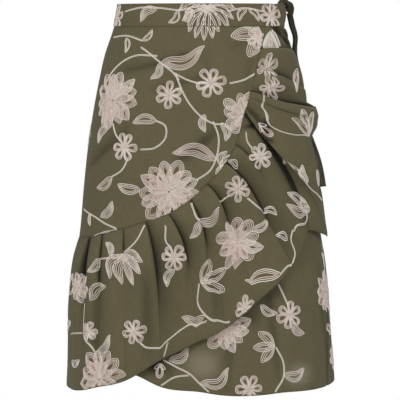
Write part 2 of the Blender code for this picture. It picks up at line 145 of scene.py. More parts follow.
# Angle, height, distance out, width and twist of the ties.
FRONT_TAIL = (
    (90.8, -0.0134, 0.0080, 0.0095, 68.0), (89.8, -0.0300, 0.0116, 0.0095, 66.0),
    (90.4, -0.0500, 0.0150, 0.0085, 60.0), (94.5, -0.0780, 0.0066, 0.0095, 16.0),
    (100.5, -0.1060, 0.0040, 0.0115, 8.0), (104.0, -0.1400, 0.0036, 0.0140, 4.0),
    (104.8, -0.1750, 0.0040, 0.0170, 8.0), (103.0, -0.2050, 0.0068, 0.0195, 30.0),
    (101.0, -0.2420, 0.0104, 0.0215, 48.0), (99.5, -0.2780, 0.0122, 0.0220, 54.0),
)
BACK_TAIL = (
    (93.0, -0.0132, 0.0078, 0.0095, 10.0), (95.5, -0.0300, 0.0128, 0.0095, 6.0),
    (100.0, -0.0520, 0.0145, 0.0105, 4.0), (108.0, -0.0800, 0.0075, 0.0135, 0.0),
    (114.5, -0.1150, 0.0034, 0.0175, 0.0), (117.0, -0.1550, 0.0034, 0.0205, 0.0),
    (118.0, -0.1950, 0.0036, 0.0220, 0.0), (118.5, -0.2300, 0.0038, 0.0220, 0.0),
)


# ---- curves and grids ----
def smooth(at: Array, stations: Array, values: Array) -> Array:
    """A smooth curve through values at rising or falling stations: cubic pieces with shared slopes."""
    stations = np.asarray(stations, float)
    values = np.asarray(values, float)
    if stations[0] > stations[-1]:
        stations, values = stations[::-1], values[::-1]
    slopes = np.gradient(values, stations)
    at = np.clip(at, stations[0], stations[-1])
    left = np.clip(np.searchsorted(stations, at) - 1, 0, len(stations) - 2)
    span = stations[left + 1] - stations[left]
    t = (at - stations[left]) / span
    start = (2 * t**3 - 3 * t**2 + 1) * values[left] + (t**3 - 2 * t**2 + t) * span * slopes[left]
    end = (3 * t**2 - 2 * t**3) * values[left + 1] + (t**3 - t**2) * span * slopes[left + 1]
    return start + end


def ease(value: Array, low: float, high: float) -> Array:
    """0 below low, 1 above high, with a smooth step between."""
    t = np.clip((value - low) / (high - low), 0, 1)
    return t * t * (3 - 2 * t)


def unit(vectors: Array) -> Array:
    """Vectors scaled to length 1 along their last axis."""
    return vectors / np.maximum(np.linalg.norm(vectors, axis=-1, keepdims=True), 1e-12)


def lengths(points: Array) -> Array:
    """Length of each step from row to row of a list or a grid of points."""
    return np.linalg.norm(np.diff(points, axis=0), axis=-1)


def totals(steps: Array) -> Array:
    """Running totals of steps, from 0."""
    return np.concatenate([[0], np.cumsum(steps)])


def grid_normals(points: Array) -> Array:
    """Outward normals of a grid whose rows run down and whose columns run to the left."""
    down = np.gradient(points, axis=0)
    along = np.gradient(points, axis=1)
    return unit(np.cross(down, along))


def grid_faces(rows: int, columns: int, wrap: bool = False) -> Array:
    """Four-sided faces of a grid; with wrap its last row joins its first."""
    first = np.arange(rows if wrap else rows - 1)[:, None]
    second = (first + 1) % rows
    left = np.arange(columns - 1)[None, :]
    corners = [first * columns + left, second * columns + left,
               second * columns + left + 1, first * columns + left + 1]
    return np.stack(corners, axis=-1).reshape(-1, 4)


def make_piece(name: str, points: Array, faces: Array, place: Array, material: bpy.types.Material,
               tone: Array | None = None) -> bpy.types.Object:
    """A smooth-shaded mesh object from whole arrays.

    Args:
        name: the piece's name.
        points: its vertices, one row of x, y, z each.
        faces: four vertex numbers a face.
        place: each vertex's place on the flat cloth or along the thread, as the UV map.
        material: its finish.
        tone: each vertex's tone, -1 to 1, as the attribute "tone": on cloth painted shade above 0
        and painted light below 0, on thread the share of its second colour.

    Returns:
        The object, at the origin and unscaled, linked to the scene.
    """
    mesh = bpy.data.meshes.new(name)
    mesh.vertices.add(len(points))
    mesh.vertices.foreach_set("co", np.ascontiguousarray(points, np.float32).ravel())
    mesh.loops.add(faces.size)
    mesh.loops.foreach_set("vertex_index", np.ascontiguousarray(faces, np.int32).ravel())
    mesh.polygons.add(len(faces))
    mesh.polygons.foreach_set("loop_start", np.arange(0, faces.size, 4, dtype=np.int32))
    mesh.update(calc_edges=True)
    layer = mesh.uv_layers.new(name="flat")
    layer.data.foreach_set("uv", np.ascontiguousarray(place[faces.ravel()], np.float32).ravel())
    if tone is not None:
        shade = mesh.attributes.new("tone", "FLOAT", "POINT")
        shade.data.foreach_set("value", np.ascontiguousarray(tone, np.float32))
    mesh.shade_smooth()
    mesh.materials.append(material)
    piece = bpy.data.objects.new(name, mesh)
    bpy.context.scene.collection.objects.link(piece)
    return piece


# ---- the body under the cloth ----
@dataclass(frozen=True)
class Form:
    """The hollow form of a worn skirt, as superellipse sections from the waist to the hem."""

    squareness: float = 2.25
    left_crossing: Place = (60.0, 130.0)
    right_crossing: Place = (195.0, 268.0)
    flare_top: float = -0.22
    flare_bottom: float = -0.580
    flare_curve: float = 1.4
    flare_most: float = 1.1
    tuck_angle: float = 91.0
    tuck_spread: float = 19.0
    tuck_height: float = -0.060
    tuck_tall: float = 0.038
    tuck_depth: float = 0.0092

    def spiral(self, turn: Array) -> Array:
        """-0.5 on the inner lap, 0 at the back and +0.5 on the outer lap."""
        return -0.5 + 0.5 * ease(turn, *self.left_crossing) + 0.5 * ease(turn, *self.right_crossing)

    def lap(self, height: Array) -> Array:
        """The distance from the inner lap to the outer lap at a height."""
        heights, laps = np.array(LAPS).T
        return smooth(height, heights, laps)

    def flare(self, angle: Array, height: Array) -> Array:
        """How far the upright folds and the tuck under the knot move the cloth out."""
        out = np.zeros(np.broadcast(angle, height).shape)
        for fold_angle, spread, rise in FLARES:
            away = (angle - fold_angle + 180) % 360 - 180
            out = out + rise * np.exp(-((away / spread) ** 2))
        down = (self.flare_top - height) / (self.flare_top - self.flare_bottom)
        away = (angle - self.tuck_angle + 180) % 360 - 180
        near = np.exp(-((away / self.tuck_spread) ** 2) - ((height - self.tuck_height) / self.tuck_tall) ** 2)
        return out * np.clip(down, 0, self.flare_most) ** self.flare_curve - self.tuck_depth * near

    def at(self, angle: Array, height: Array, out: Array | float = 0.0) -> Array:
        """Points of the form, moved out.

        The radius at an angle is (|sin / wide|^p + |cos / deep|^p)^(-1/p), and a point moves out along
        the level normal of that section.
        """
        angle, height, out = np.broadcast_arrays(angle, height, out)
        heights, wides, fronts, backs = np.array(SECTIONS).T
        wide = smooth(height, heights, wides)
        sine = np.sin(np.radians(angle))
        cosine = np.cos(np.radians(angle))
        deep = np.where(cosine > 0, smooth(height, heights, fronts), smooth(height, heights, backs))
        power = self.squareness
        radius = (np.abs(sine / wide) ** power + np.abs(cosine / deep) ** power) ** (-1 / power)
        x = radius * sine
        y = -radius * cosine
        out_x = np.sign(x) * np.abs(x) ** (power - 1) / wide**power
        out_y = np.sign(y) * np.abs(y) ** (power - 1) / deep**power
        length = np.hypot(out_x, out_y)
        out = out + self.flare(angle, height)
        return np.stack([x + out * out_x / length, y + out * out_y / length, height], axis=-1)

    def pace(self, angle: Array, height: Array) -> Array:
        """Metres round the form for each degree."""
        step = 0.5
        chord = self.at(angle + step, height) - self.at(angle - step, height)
        return np.linalg.norm(chord, axis=-1) / (2 * step)


FORM = Form()


@dataclass(frozen=True)
class Crease:
    """A soft trough or ridge in a panel, from one place to another."""

    turn: float
    height: float
    to_turn: float
    to_height: float
    rise: float
    width: float
    upper: float = 0.75
    lower: float = 1.25
    ends: float = 0.7

    def relief(self, turn: Array, height: Array, pace: Array) -> Array:
        """Rise of the cloth: a bell across the crease, which is narrower on its upper side and fades at
        both ends of its line."""
        upright = np.full_like(pace, self.to_height - self.height)
        along = np.array([(self.to_turn - self.turn) * pace, upright])
        away = np.array([(turn - self.turn) * pace, height - self.height + 0 * pace])
        length = (along**2).sum(0)
        share = (away * along).sum(0) / length
        side = (away[0] * along[1] - away[1] * along[0]) / np.sqrt(length)
        width = self.width * np.where(side > 0, self.upper, self.lower)
        fade = np.clip(4 * share * (1 - share), 0, 1) ** self.ends
        return self.rise * fade * np.exp(-((side / width) ** 2))


def patches(shades: tuple[tuple[float, ...], ...], turn: Array, height: Array, pace: Array) -> Array:
    """Painted shade patches, or below 0 painted light where thin cloth lets light through: rounded
    bells about places (turn, height, strength, half width, half height)."""
    tone = np.zeros_like(pace)
    for at_turn, at_height, strength, broad, tall in shades:
        away = ((turn - at_turn) * pace / broad) ** 2 + ((height - at_height) / tall) ** 2
        tone = tone + strength * np.exp(-(away**1.5))
    return tone


# ---- cloth walls ----
@dataclass
class Panel:
    """A cloth wall on a grid: rows run down the cloth and columns run round it to the left.

    Fields:
        name: the piece's name.
        node: the solid that it stands for.
        thickness: the wall.
        points, normals: the middle of the wall, rows by columns.
        flat: each point's place on the flat cloth, in metres.
        tone: painted shade at each point, from 0 to 1 deep in a crease, and below 0 painted light
        where thin cloth lets light through.
        hem: how far the lower edge is turned up inside, or 0.
    """

    name: str
    node: str
    thickness: float = 0.9 * MM
    hem: float = 0.0
    points: Array = field(init=False)
    normals: Array = field(init=False)
    flat: Array = field(init=False)
    tone: Array | None = field(init=False, default=None)

    def set_grid(self, points: Array) -> None:
        """Keep the grid with its normals, and measure the cloth along its middle row and columns."""
        self.points = points
        self.normals = grid_normals(points)
        across = totals(lengths(points[len(points) // 2]))
        down = np.concatenate([np.zeros((1, points.shape[1])), np.cumsum(lengths(points), axis=0)])
        self.flat = np.stack(np.broadcast_arrays(across[None, :], -down), axis=-1)

    def index(self, round_: Array, up: Array) -> tuple[Array, Array]:
        """Row and column, as fractions, of a place on the panel."""
        raise NotImplementedError

    def scale(self, round_: Array, up: Array) -> tuple[Array, Array]:
        """Metres for each unit of the panel's coordinates: a degree of turn and a metre of height."""
        return FORM.pace(round_, up), np.ones_like(up)

    def travel(self, x: Array, y: Array) -> Array:
        """Metres from the first of a line of places to each of them."""
        wide, tall = self.scale(x, y)
        level = np.diff(x) * (wide[1:] + wide[:-1]) / 2
        return totals(np.hypot(level, np.diff(y) * (tall[1:] + tall[:-1]) / 2))

    def inside(self, round_: Array, up: Array) -> Array:
        """Whether places lie on the panel."""
        row, column = self.index(round_, up)
        rows, columns = self.points.shape[:2]
        return (row >= 0) & (row <= rows - 1) & (column >= 0) & (column <= columns - 1)

    def read(self, grid: Array, round_: Array, up: Array) -> Array:
        """A grid's values at places, between its four nearest points."""
        row, column = self.index(round_, up)
        rows, columns = self.points.shape[:2]
        row = np.clip(row, 0, rows - 1.001)
        column = np.clip(column, 0, columns - 1.001)
        r, c = row.astype(int), column.astype(int)
        fr, fc = (row - r)[..., None], (column - c)[..., None]
        above = grid[r, c] * (1 - fc) + grid[r, c + 1] * fc
        below = grid[r + 1, c] * (1 - fc) + grid[r + 1, c + 1] * fc
        return above * (1 - fr) + below * fr

    def lift(self, round_: Array, up: Array, over: Array | float) -> Array:
        """Points at a height over the panel's outer face."""
        out = unit(self.read(self.normals, round_, up))
        return self.read(self.points, round_, up) + out * (self.thickness / 2 + np.asarray(over)[..., None])

    def step(self, x: float, y: float, level: Array, upright: Array, near: Place) -> tuple[Array, Array]:
        """Places some level and upright metres away from a place."""
        up = y + upright
        wide, _ = self.scale(np.full_like(level, x), up)
        wide, _ = self.scale(x + level / wide / 2, up)
        return x + level / wide, up

    def reach(self, x: float, y: float, near: Place) -> tuple[float, float]:
        """Level and upright metres of a step in the panel's units, near a place."""
        wide, tall = self.scale(np.array([near[0]]), np.array([near[1]]))
        return x * float(wide[0]), y * float(tall[0])

    def turned_up(self) -> tuple[Array, Array]:
        """The grid and its flat places with the hem folded inside: round its edge, then back up."""
        if not self.hem:
            return self.points, self.flat
        edge, inward = self.points[-1], -self.normals[-1]
        up = unit(self.points[-3] - self.points[-1])
        gap = self.thickness + HEM_ROOM
        rows, flats = [], []
        for rise, share in ((-0.35 * gap, 0.5), (0.0, 1.0), (self.hem / 2, 1.0), (self.hem, 1.0)):
            rows.append(edge + up * rise + inward * gap * share)
            flats.append(self.flat[-1] - np.array([0, abs(rise) + gap]))
        return np.concatenate([self.points, rows]), np.concatenate([self.flat, flats])

    def build(self, material: bpy.types.Material) -> bpy.types.Object:
        """The finished wall, riding on the body and standing for its solid."""
        points, flat = self.turned_up()
        rows, columns = points.shape[:2]
        tone = np.zeros((rows, columns))
        if self.tone is not None:
            tone[:len(self.tone)] = self.tone
            tone[len(self.tone):] = self.tone[-1]
        piece = make_piece(self.name, points.reshape(-1, 3), grid_faces(rows, columns),
                           flat.reshape(-1, 2), material, tone.ravel())
        wall = piece.modifiers.new("Wall", "SOLIDIFY")
        wall.thickness = self.thickness
        wall.offset = 0.0
        wall.use_even_offset = False
        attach(piece, BODY)
        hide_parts(self.node)
        return piece


@dataclass
class BodyPanel(Panel):
    """A panel that hangs from the band: its coordinates are the turn in degrees and the height."""

    start: float = 0.0
    end: float = 90.0
    columns: int = 150
    rows: int = 100
    creases: tuple[Crease, ...] = ()
    tuck_under_band: float = 5 * MM
    seam_dip: float = 0.5 * MM
    side_dip_reach: float = 1.5 * MM
    edge_dip_reach: float = 2 * MM
    crease_shade: float = 0.50
    full_shade_depth: float = 2.4 * MM
    shades: tuple[tuple[float, ...], ...] = ()

    def top(self) -> float:
        """Height of the upper edge, hidden in the band."""
        return -BAND_HEIGHT + self.tuck_under_band

    def bottom(self, turn: Array) -> Array:
        """Height of the lower edge at a turn."""
        turns, heights = np.array(HEMLINE).T
        return smooth(turn, turns, heights)

    def relief(self, turn: Array, height: Array) -> Array:
        """Rise of the creases, and the dips along the seams: the band's and the side seams'."""
        pace = FORM.pace(turn, height)
        rise = sum((crease.relief(turn, height, pace) for crease in self.creases), np.zeros_like(pace))
        # Painted shade: darker in the creases' troughs, plus the shades table's painted shade and, below 0,
        # painted light where thin cloth lets light through.
        tone = self.crease_shade * np.clip(-rise / self.full_shade_depth, 0, 1)
        self.tone = np.clip(tone + patches(self.shades, turn, height, pace), -1, 1)
        near_side = np.minimum(turn - self.start, self.end - turn) * pace
        near_band = np.abs(-BAND_HEIGHT - height)
        dips = np.exp(-near_side / self.side_dip_reach) + np.exp(-near_band / self.edge_dip_reach)
        return rise - self.seam_dip * dips

    def make(self) -> BodyPanel:
        """Work out the grid: level rows between the band and the lower edge."""
        turn = np.linspace(self.start, self.end, self.columns + 1)[None, :]
        down = np.linspace(0, 1, self.rows + 1)[:, None]
        height = self.top() + (self.bottom(turn) - self.top()) * down
        turn = turn + 0 * height
        out = FORM.spiral(turn) * FORM.lap(height) + self.relief(turn, height)
        self.set_grid(FORM.at(turn, height, out))
        return self

    def index(self, round_: Array, up: Array) -> tuple[Array, Array]:
        """Row and column of a turn and a height."""
        column = (round_ - self.start) / (self.end - self.start) * self.columns
        row = (self.top() - up) / (self.top() - self.bottom(round_)) * self.rows
        return row, column


@dataclass
class FoldLines:
    """The flounce's fold lines, with their stations along it, in metres from its top end."""

    table: Array = field(default_factory=lambda: np.array(FLOUNCE, float))

    def __post_init__(self) -> None:
        """Measure the stations: the mean of the way along the seam and the way along the hem."""
        seam = FORM.at(self.table[:, 0], self.table[:, 1])
        hem = FORM.at(self.table[:, 4], self.table[:, 5])
        self.station = totals((lengths(seam) + lengths(hem)) / 2)

    def seam(self, station: Array) -> tuple[Array, Array]:
        """Angle and height of the seam between the overwrap and the flounce."""
        return tuple(smooth(station, self.station, self.table[:, i]) for i in (0, 1))

    def place(self, station: Array, across: Array) -> tuple[Array, Array]:
        """Angle and height of a point of the unfolded flounce: a parabola from seam to hem through
        the halfway point, seam (1-a)(1-2a) + middle 4a(1-a) + hem a(2a-1)."""
        found = []
        for first in (0, 1):
            seam, middle, hem = (
                smooth(station, self.station, self.table[:, first + 2 * step]) for step in range(3))
            found.append(seam * (1 - across) * (1 - 2 * across) + middle * 4 * across * (1 - across)
                         + hem * across * (2 * across - 1))
        return tuple(found)


LINES = FoldLines()


@dataclass
class Overwrap(BodyPanel):
    """The front of the overwrap, whose lower edge is the curved seam of the flounce."""

    def bottom(self, turn: Array) -> Array:
        """Height of the curved seam at a turn."""
        angle, height = LINES.seam(np.linspace(0, LINES.station[-1], 400))
        return np.interp(turn - 360, angle[::-1], height[::-1])

    def relief(self, turn: Array, height: Array) -> Array:
        """The panel's creases and seam dips, with a dip along the flounce's seam."""
        near = height - self.bottom(turn)
        return super().relief(turn, height) - self.seam_dip * np.exp(-near / self.edge_dip_reach)

    def make(self) -> Overwrap:
        """Work out the grid: columns stand under the band, and rows sink to the curved seam."""
        station = np.linspace(LINES.station[-1], 0, self.columns + 1)[None, :]
        angle, edge = LINES.seam(station)
        down = np.linspace(0, 1, self.rows + 1)[:, None]
        height = self.top() + (edge - self.top()) * down
        turn = angle + 360 + 0 * height
        self.column_turns = turn[0]
        self.set_grid(FORM.at(turn, height, FORM.lap(height) / 2 + self.relief(turn, height)))
        return self

    def index(self, round_: Array, up: Array) -> tuple[Array, Array]:
        """Row and column of a turn and a height; a place beyond the side edges has no column."""
        column = np.interp(round_, self.column_turns, np.arange(self.columns + 1.0), left=-1, right=1e6)
        row = (self.top() - up) / (self.top() - self.bottom(round_)) * self.rows
        return row, column


@dataclass(frozen=True)
class Shadow:
    """The painted shade in one of the flounce's creases.

    Fields:
        line: the fold line's number.
        core, core_width, core_end: strength, width and share of the way down of its darkest part.
        soft, soft_width, soft_end: the same of the soft shade beside it.
        side: the side that the next fold overlaps: -1 is the fold before the line.
        sharp: how even the darkest part is across: 2 is a bell and more is flatter.
    """

    line: int
    core: float
    core_width: float
    core_end: float
    soft: float = 0.0
    soft_width: float = 15 * MM
    soft_end: float = 1.0
    side: int = -1
    sharp: float = 2.0

    def shade(self, away: Array, across: Array) -> Array:
        """Darkness at a distance from the line: a narrow bell and a wide one, which start half as wide
        at the seam, fade towards their ends, and are cut off sharply on the other side."""
        away = away * self.side
        broaden = 0.5 + 0.5 * ease(across, 0.0, 0.4)
        dark = np.zeros(np.broadcast(away, across).shape)
        parts = ((self.core, self.core_width, self.core_end, self.sharp),
                 (self.soft, self.soft_width, self.soft_end, 2.0))
        for strength, width, end, power in parts:
            bell = np.exp(-((np.maximum(away, 0) / (width * broaden)) ** power))
            dark = dark + strength * bell * (1 - ease(across, 0.6 * end, 1.15 * end))
        return dark * np.exp(np.minimum(away, 0) / (1.1 * MM))


@dataclass
class Flounce(Panel):
    """The gathered flounce.  Its coordinates are the way along it from its end at the wearer's right
    side, and minus the way down from its seam, both in metres of cloth.

    Fields:
        fineness: columns for each step of the fold lines' table.
        sharpness, steepest: how peaked the folds are, and the steepest that they rise.
        pucker, pucker_reach: height of the gathers and the share of the way down that they reach.
        crowding, seamward: how columns draw near the fold lines, and rows near the seam.
        ripple, drift, swell: length of one gather, and of the slow changes in their places and heights.
    """

    fineness: int = 4
    rows: int = 56
    sharpness: float = 0.55
    steepest: float = 2.1
    pucker: float = 0.8 * MM
    pucker_reach: float = 0.10
    crowding: float = 0.60
    seamward: float = 1.2
    ripple: float = 0.0095
    drift: float = 0.061
    swell: float = 0.037
    creases: tuple[Crease, ...] = ()
    shadows: tuple[Shadow, ...] = ()
    shades: tuple[tuple[float, ...], ...] = ()

    def make(self) -> Flounce:
        """Work out the folded surface: the unfolded flounce, raised by one fold after each line and
        tipped sideways by its lean, with small puckers along the gathered seam."""
        table = LINES.table
        steps = table[:, 11].astype(int) * self.fineness
        before = np.append(np.repeat(np.arange(len(steps)), steps), len(steps) - 2)
        first = totals(steps)
        along = (np.arange(len(before)) - first[before]) / steps[before]
        along = along - self.crowding * np.sin(2 * np.pi * along) / (2 * np.pi)

        def between(values: Array) -> Array:
            """Values of the fold lines, drawn straight from each line to the next."""
            return values[before] * (1 - along) + values[before + 1] * along

        across = np.linspace(0, 1, self.rows + 1)[:, None] ** self.seamward
        shares, of_mid, of_hem = np.array(FOLD_REACH).T
        of_mid = smooth(across, shares, of_mid)
        of_hem = smooth(across, shares, of_hem)
        station = between(LINES.station)
        angle, height = LINES.place(station, across)
        base = FORM.at(angle, height, FORM.lap(height) / 2)
        reach = between(np.array(VALLEY_REACH))
        softer = ease(across, 0.45 * reach, 1.25 * reach) * (reach < 0.99)
        early = np.interp(before, np.arange(len(FOLD_SKEWS)), FOLD_SKEWS)
        skewed = along ** (early + (1 - early) * softer)
        hump = np.sin(np.pi * skewed) ** (self.sharpness + 1.0 * softer) * (1 - 0.45 * softer)
        rise = of_mid * (between(table[:, 6]) + table[before, 8] * hump)
        rise = rise + of_hem * (between(table[:, 7]) + table[before, 9] * hump)
        run = np.linalg.norm(np.diff(base, axis=1), axis=-1)
        run = np.concatenate([np.zeros((len(run), 1)), np.cumsum(run, axis=1)], axis=1)
        valleys = first[np.flatnonzero(table[:, 6] == 0)]
        away = np.min([np.abs(run - run[:, [valley]]) for valley in valleys], axis=0)
        most = self.steepest * away + of_hem * np.abs(rise) + 1e-6
        rise = most * np.tanh(rise / most)
        ripple = np.sin(2 * np.pi * station / self.ripple + 2.6 * np.sin(2 * np.pi * station / self.drift))
        ripple = ripple * (0.6 + 0.4 * np.sin(2 * np.pi * station / self.swell))
        near_seam = (1 - np.exp(-across / 0.012)) * np.exp(-across / self.pucker_reach)
        rise = rise + self.pucker * ripple * near_seam - 0.5 * MM * np.exp(-across / 0.008)
        sideways = unit(np.gradient(base, axis=1))
        leans = np.array(FOLD_LEANS)
        following = np.where(table[before + 1, 6] > 0, leans[before + 1], leans[before])
        tip = (rise * (leans[before] * (1 - along) + following * along))[..., None]
        pace = FORM.pace(angle, height)
        creased = sum(crease.relief(angle, height, pace) for crease in self.creases)
        rise = rise + creased
        folded = FORM.at(angle, height, FORM.lap(height) / 2 + rise) + sideways * tip
        self.set_grid(folded[:, ::-1])
        # Painted shade: darker in the creases' troughs, in the shade patches and along the fold lines.
        tone = np.clip(-creased / (4 * MM), 0, 1) * 0.5 + patches(self.shades, angle, height, pace)
        for shadow in self.shadows:
            tone = tone + shadow.shade(run - run[:, [first[shadow.line]]], across)
        self.tone = np.clip(tone, -1, 1)[:, ::-1]
        self.way = self.flat[0, :, 0]
        self.depth = -self.flat[-1, :, 1]
        self.across = (-self.flat[..., 1] / self.depth).mean(axis=1)
        return self

    def index(self, round_: Array, up: Array) -> tuple[Array, Array]:
        """Row and column of a way along and a way down the cloth."""
        columns = np.arange(len(self.way), dtype=float)
        column = np.interp(round_, self.way, columns, left=-1, right=1e6)
        share = -up / np.interp(round_, self.way, self.depth)
        row = np.interp(share, self.across, np.arange(len(self.across), dtype=float), left=-1, right=1e6)
        return row, column

    def scale(self, round_: Array, up: Array) -> tuple[Array, Array]:
        """Both coordinates are in metres."""
        return np.ones_like(up), np.ones_like(up)

    def slant(self, near: Place) -> Array:
        """Level and upright metres for each metre along and up the cloth near a place, where fold
        lines run aslant and gathers draw the cloth in: a 2 by 2 matrix, from the chords across the
        place, whose stretches are kept between 0.55 and 1.15."""
        span = 14 * MM
        depth = float(np.interp(near[0], self.way, self.depth))
        x = np.clip(near[0] + span * np.array([-1.0, 1, 0, 0]), 1 * MM, self.way[-1] - 1 * MM)
        y = np.clip(near[1] + span * np.array([0.0, 0, -1, 1]), -0.99 * depth, -0.5 * MM)
        points = self.read(self.points, x, y)
        chords = np.stack([(points[1] - points[0]) / (x[1] - x[0]), (points[3] - points[2]) / (y[3] - y[2])])
        normal = unit(np.cross(chords[0], chords[1]))
        level = unit(np.cross([0, 0, 1.0], normal))
        left, stretch, right = np.linalg.svd(np.stack([level, np.cross(normal, level)]) @ chords.T)
        return left @ np.diag(np.clip(stretch, 0.55, 1.15)) @ right

    def step(self, x: float, y: float, level: Array, upright: Array, near: Place) -> tuple[Array, Array]:
        """Places some level and upright metres away from a place, by the slant near it."""
        along, up = np.linalg.inv(self.slant(near)) @ np.stack([level, upright])
        return x + along, y + up

    def reach(self, x: float, y: float, near: Place) -> tuple[float, float]:
        """Level and upright metres of a step along and up the cloth, near a place."""
        level, upright = self.slant(near) @ np.array([x, y])
        return float(level), float(upright)


@dataclass
class Waistband(Panel):
    """The doubled band: one spiral strip from its inner end to its gathered outer end."""

    thickness: float = 1.8 * MM
    columns: int = 460
    rows: int = 14
    gather_start: float = 427.0
    gather_full: float = 437.0
    pucker: float = 2.5 * MM
    corner: float = 430.0
    corner_end: float = 446.0
    cut: float = 19 * MM
    pillow: float = 0.35 * MM
    ridge: float = 1.3 * MM
    ridges: float = 3.2
    wave: float = 0.25 * MM
    painted_shade_from: float = 438.0

    def edges(self, turn: Array) -> tuple[Array, Array]:
        """Heights of the upper and lower edges at a turn."""
        top = self.pucker * ease(turn, self.gather_start, self.gather_full)
        bottom = -BAND_HEIGHT + self.cut * ease(turn, self.corner, self.corner_end)
        return top, bottom

    def make(self) -> Waistband:
        """Work out the grid: the strip swells a little between its edges, waves slightly along its
        top, and is drawn into ridges that run together at its gathered end."""
        turn = np.linspace(BAND_START, BAND_END, self.columns + 1)[None, :]
        top, bottom = self.edges(turn)
        down = np.linspace(0, 1, self.rows + 1)[:, None]
        height = top + (bottom - top) * down
        gathered = ease(turn, self.gather_start - 8, BAND_END)
        folds = np.sin(2 * np.pi * (self.ridges * down + 0.4))
        ridges = self.ridge * gathered * folds
        wave = self.wave * np.sin(np.radians(turn) * 11) * np.sin(np.radians(turn) * 4.3) * (1 - down)
        out = FORM.spiral(turn) * BAND_LAP + self.pillow * np.sin(np.pi * down) + ridges + wave
        self.set_grid(FORM.at(turn + 0 * height, height, out))
        # Painted shade in the hollows between the ridges of the gathered end.
        self.tone = ease(turn, self.painted_shade_from, BAND_END) * np.clip(0.55 - 0.6 * folds, 0, 1)
        return self

    def index(self, round_: Array, up: Array) -> tuple[Array, Array]:
        """Row and column of a turn and a height."""
        top, bottom = self.edges(round_)
        column = (round_ - BAND_START) / (BAND_END - BAND_START) * self.columns
        return (top - up) / (top - bottom) * self.rows, column


# ---- thread lines laid on a panel ----
# The profile of a line of thread: shares of its half width across and of its crown up.
ACROSS = np.array([-1.0, -0.55, 0.55, 1.0])
UP = np.array([-0.35, 1.0, 1.0, -0.35])


@dataclass
class Line:
    """A line of thread in a panel's coordinates, or in a motif's own metres before it is placed."""

    x: Array
    y: Array
    half: float = 1.0 * MM
    tone: float = 0.0
    closed: bool = False
    over: float = 0.0


@dataclass
class ThreadWork:
    """Thread lines on one panel, as one joined mesh of crowned ribbons.

    Fields:
        name: the piece's name.
        panel: the panel they lie on.
        crown: how high a line stands over the cloth.
        spacing: distance between its cross-sections.
        link: length of a stitch, the unit of the UV map along a line.
        slot: not used.
        fewest: the fewest cross-sections that a line has.
        taper: how far from a loose end a line has its full width.
    """

    name: str
    panel: Panel
    crown: float = 0.65 * MM
    spacing: float = 1.35 * MM
    link: float = 2.6 * MM
    slot: str = "embroidery"
    fewest: int = 5
    taper: float = 1.2 * MM
    lines: list[Line] = field(default_factory=list)

    def sections(self, line: Line) -> tuple[Array, ...]:
        """One line's cross-sections, evenly spaced, with its edges moved sideways in true metres."""
        x, y = line.x, line.y
        if line.closed:
            x, y = np.append(x, x[0]), np.append(y, y[0])
        way = self.panel.travel(x, y)
        count = max(self.fewest, int(way[-1] / self.spacing) + 1)
        even = np.linspace(0, way[-1], count)
        x, y = np.interp(even, way, x), np.interp(even, way, y)
        wide, tall = self.panel.scale(x, y)
        ends = np.gradient(x) * wide, np.gradient(y) * tall
        if line.closed:
            for end in ends:
                end[0] = end[-1] = (end[0] + end[-1]) / 2
        length = np.maximum(np.hypot(*ends), 1e-9)
        half = np.full(count, line.half)
        if not line.closed:
            half = half * np.clip(np.minimum(even, even[-1] - even) / self.taper + 0.35, 0, 1)
        side = half[:, None] * ACROSS
        px = x[:, None] - (ends[1] / length / wide)[:, None] * side
        py = y[:, None] + (ends[0] / length / tall)[:, None] * side
        up = UP * self.crown + line.over
        return px, py, np.broadcast_to(up, px.shape), even / self.link, np.full(px.shape, line.tone)

    def build(self, material: bpy.types.Material) -> bpy.types.Object:
        """The joined mesh: sections off the panel are left out, so its edges cut the lines."""
        found = [self.sections(line) for line in self.lines]
        px, py, up, way, tone = (np.concatenate([f[i] for f in found]) for i in range(5))
        follows = np.concatenate([np.arange(len(f[3])) < len(f[3]) - 1 for f in found])
        kept = self.panel.inside(px, py).all(axis=1)
        start = np.flatnonzero(follows[:-1] & kept[:-1] & kept[1:])
        points = self.panel.lift(px, py, up)
        width = len(ACROSS)
        corner = start[:, None] * width + np.arange(width - 1)[None, :]
        faces = np.stack([corner, corner + 1, corner + width + 1, corner + width], axis=-1).reshape(-1, 4)
        used, faces = np.unique(faces, return_inverse=True)
        place = np.stack(np.broadcast_arrays(way[:, None], (ACROSS + 1) / 2), axis=-1)
        piece = make_piece(self.name, points.reshape(-1, 3)[used], faces.reshape(-1, 4),
                           place.reshape(-1, 2)[used], material, tone.ravel()[used])
        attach(piece, BODY)
        return piece


# ---- motifs ----
class Motif(Enum):
    """The embroidery's motifs."""

    DAISY = "daisy"
    BLOSSOM = "blossom"
    LILY = "lily"
    TULIP = "tulip"
    LEAF = "leaf"
    BUD = "bud"
    PATCH = "patch"


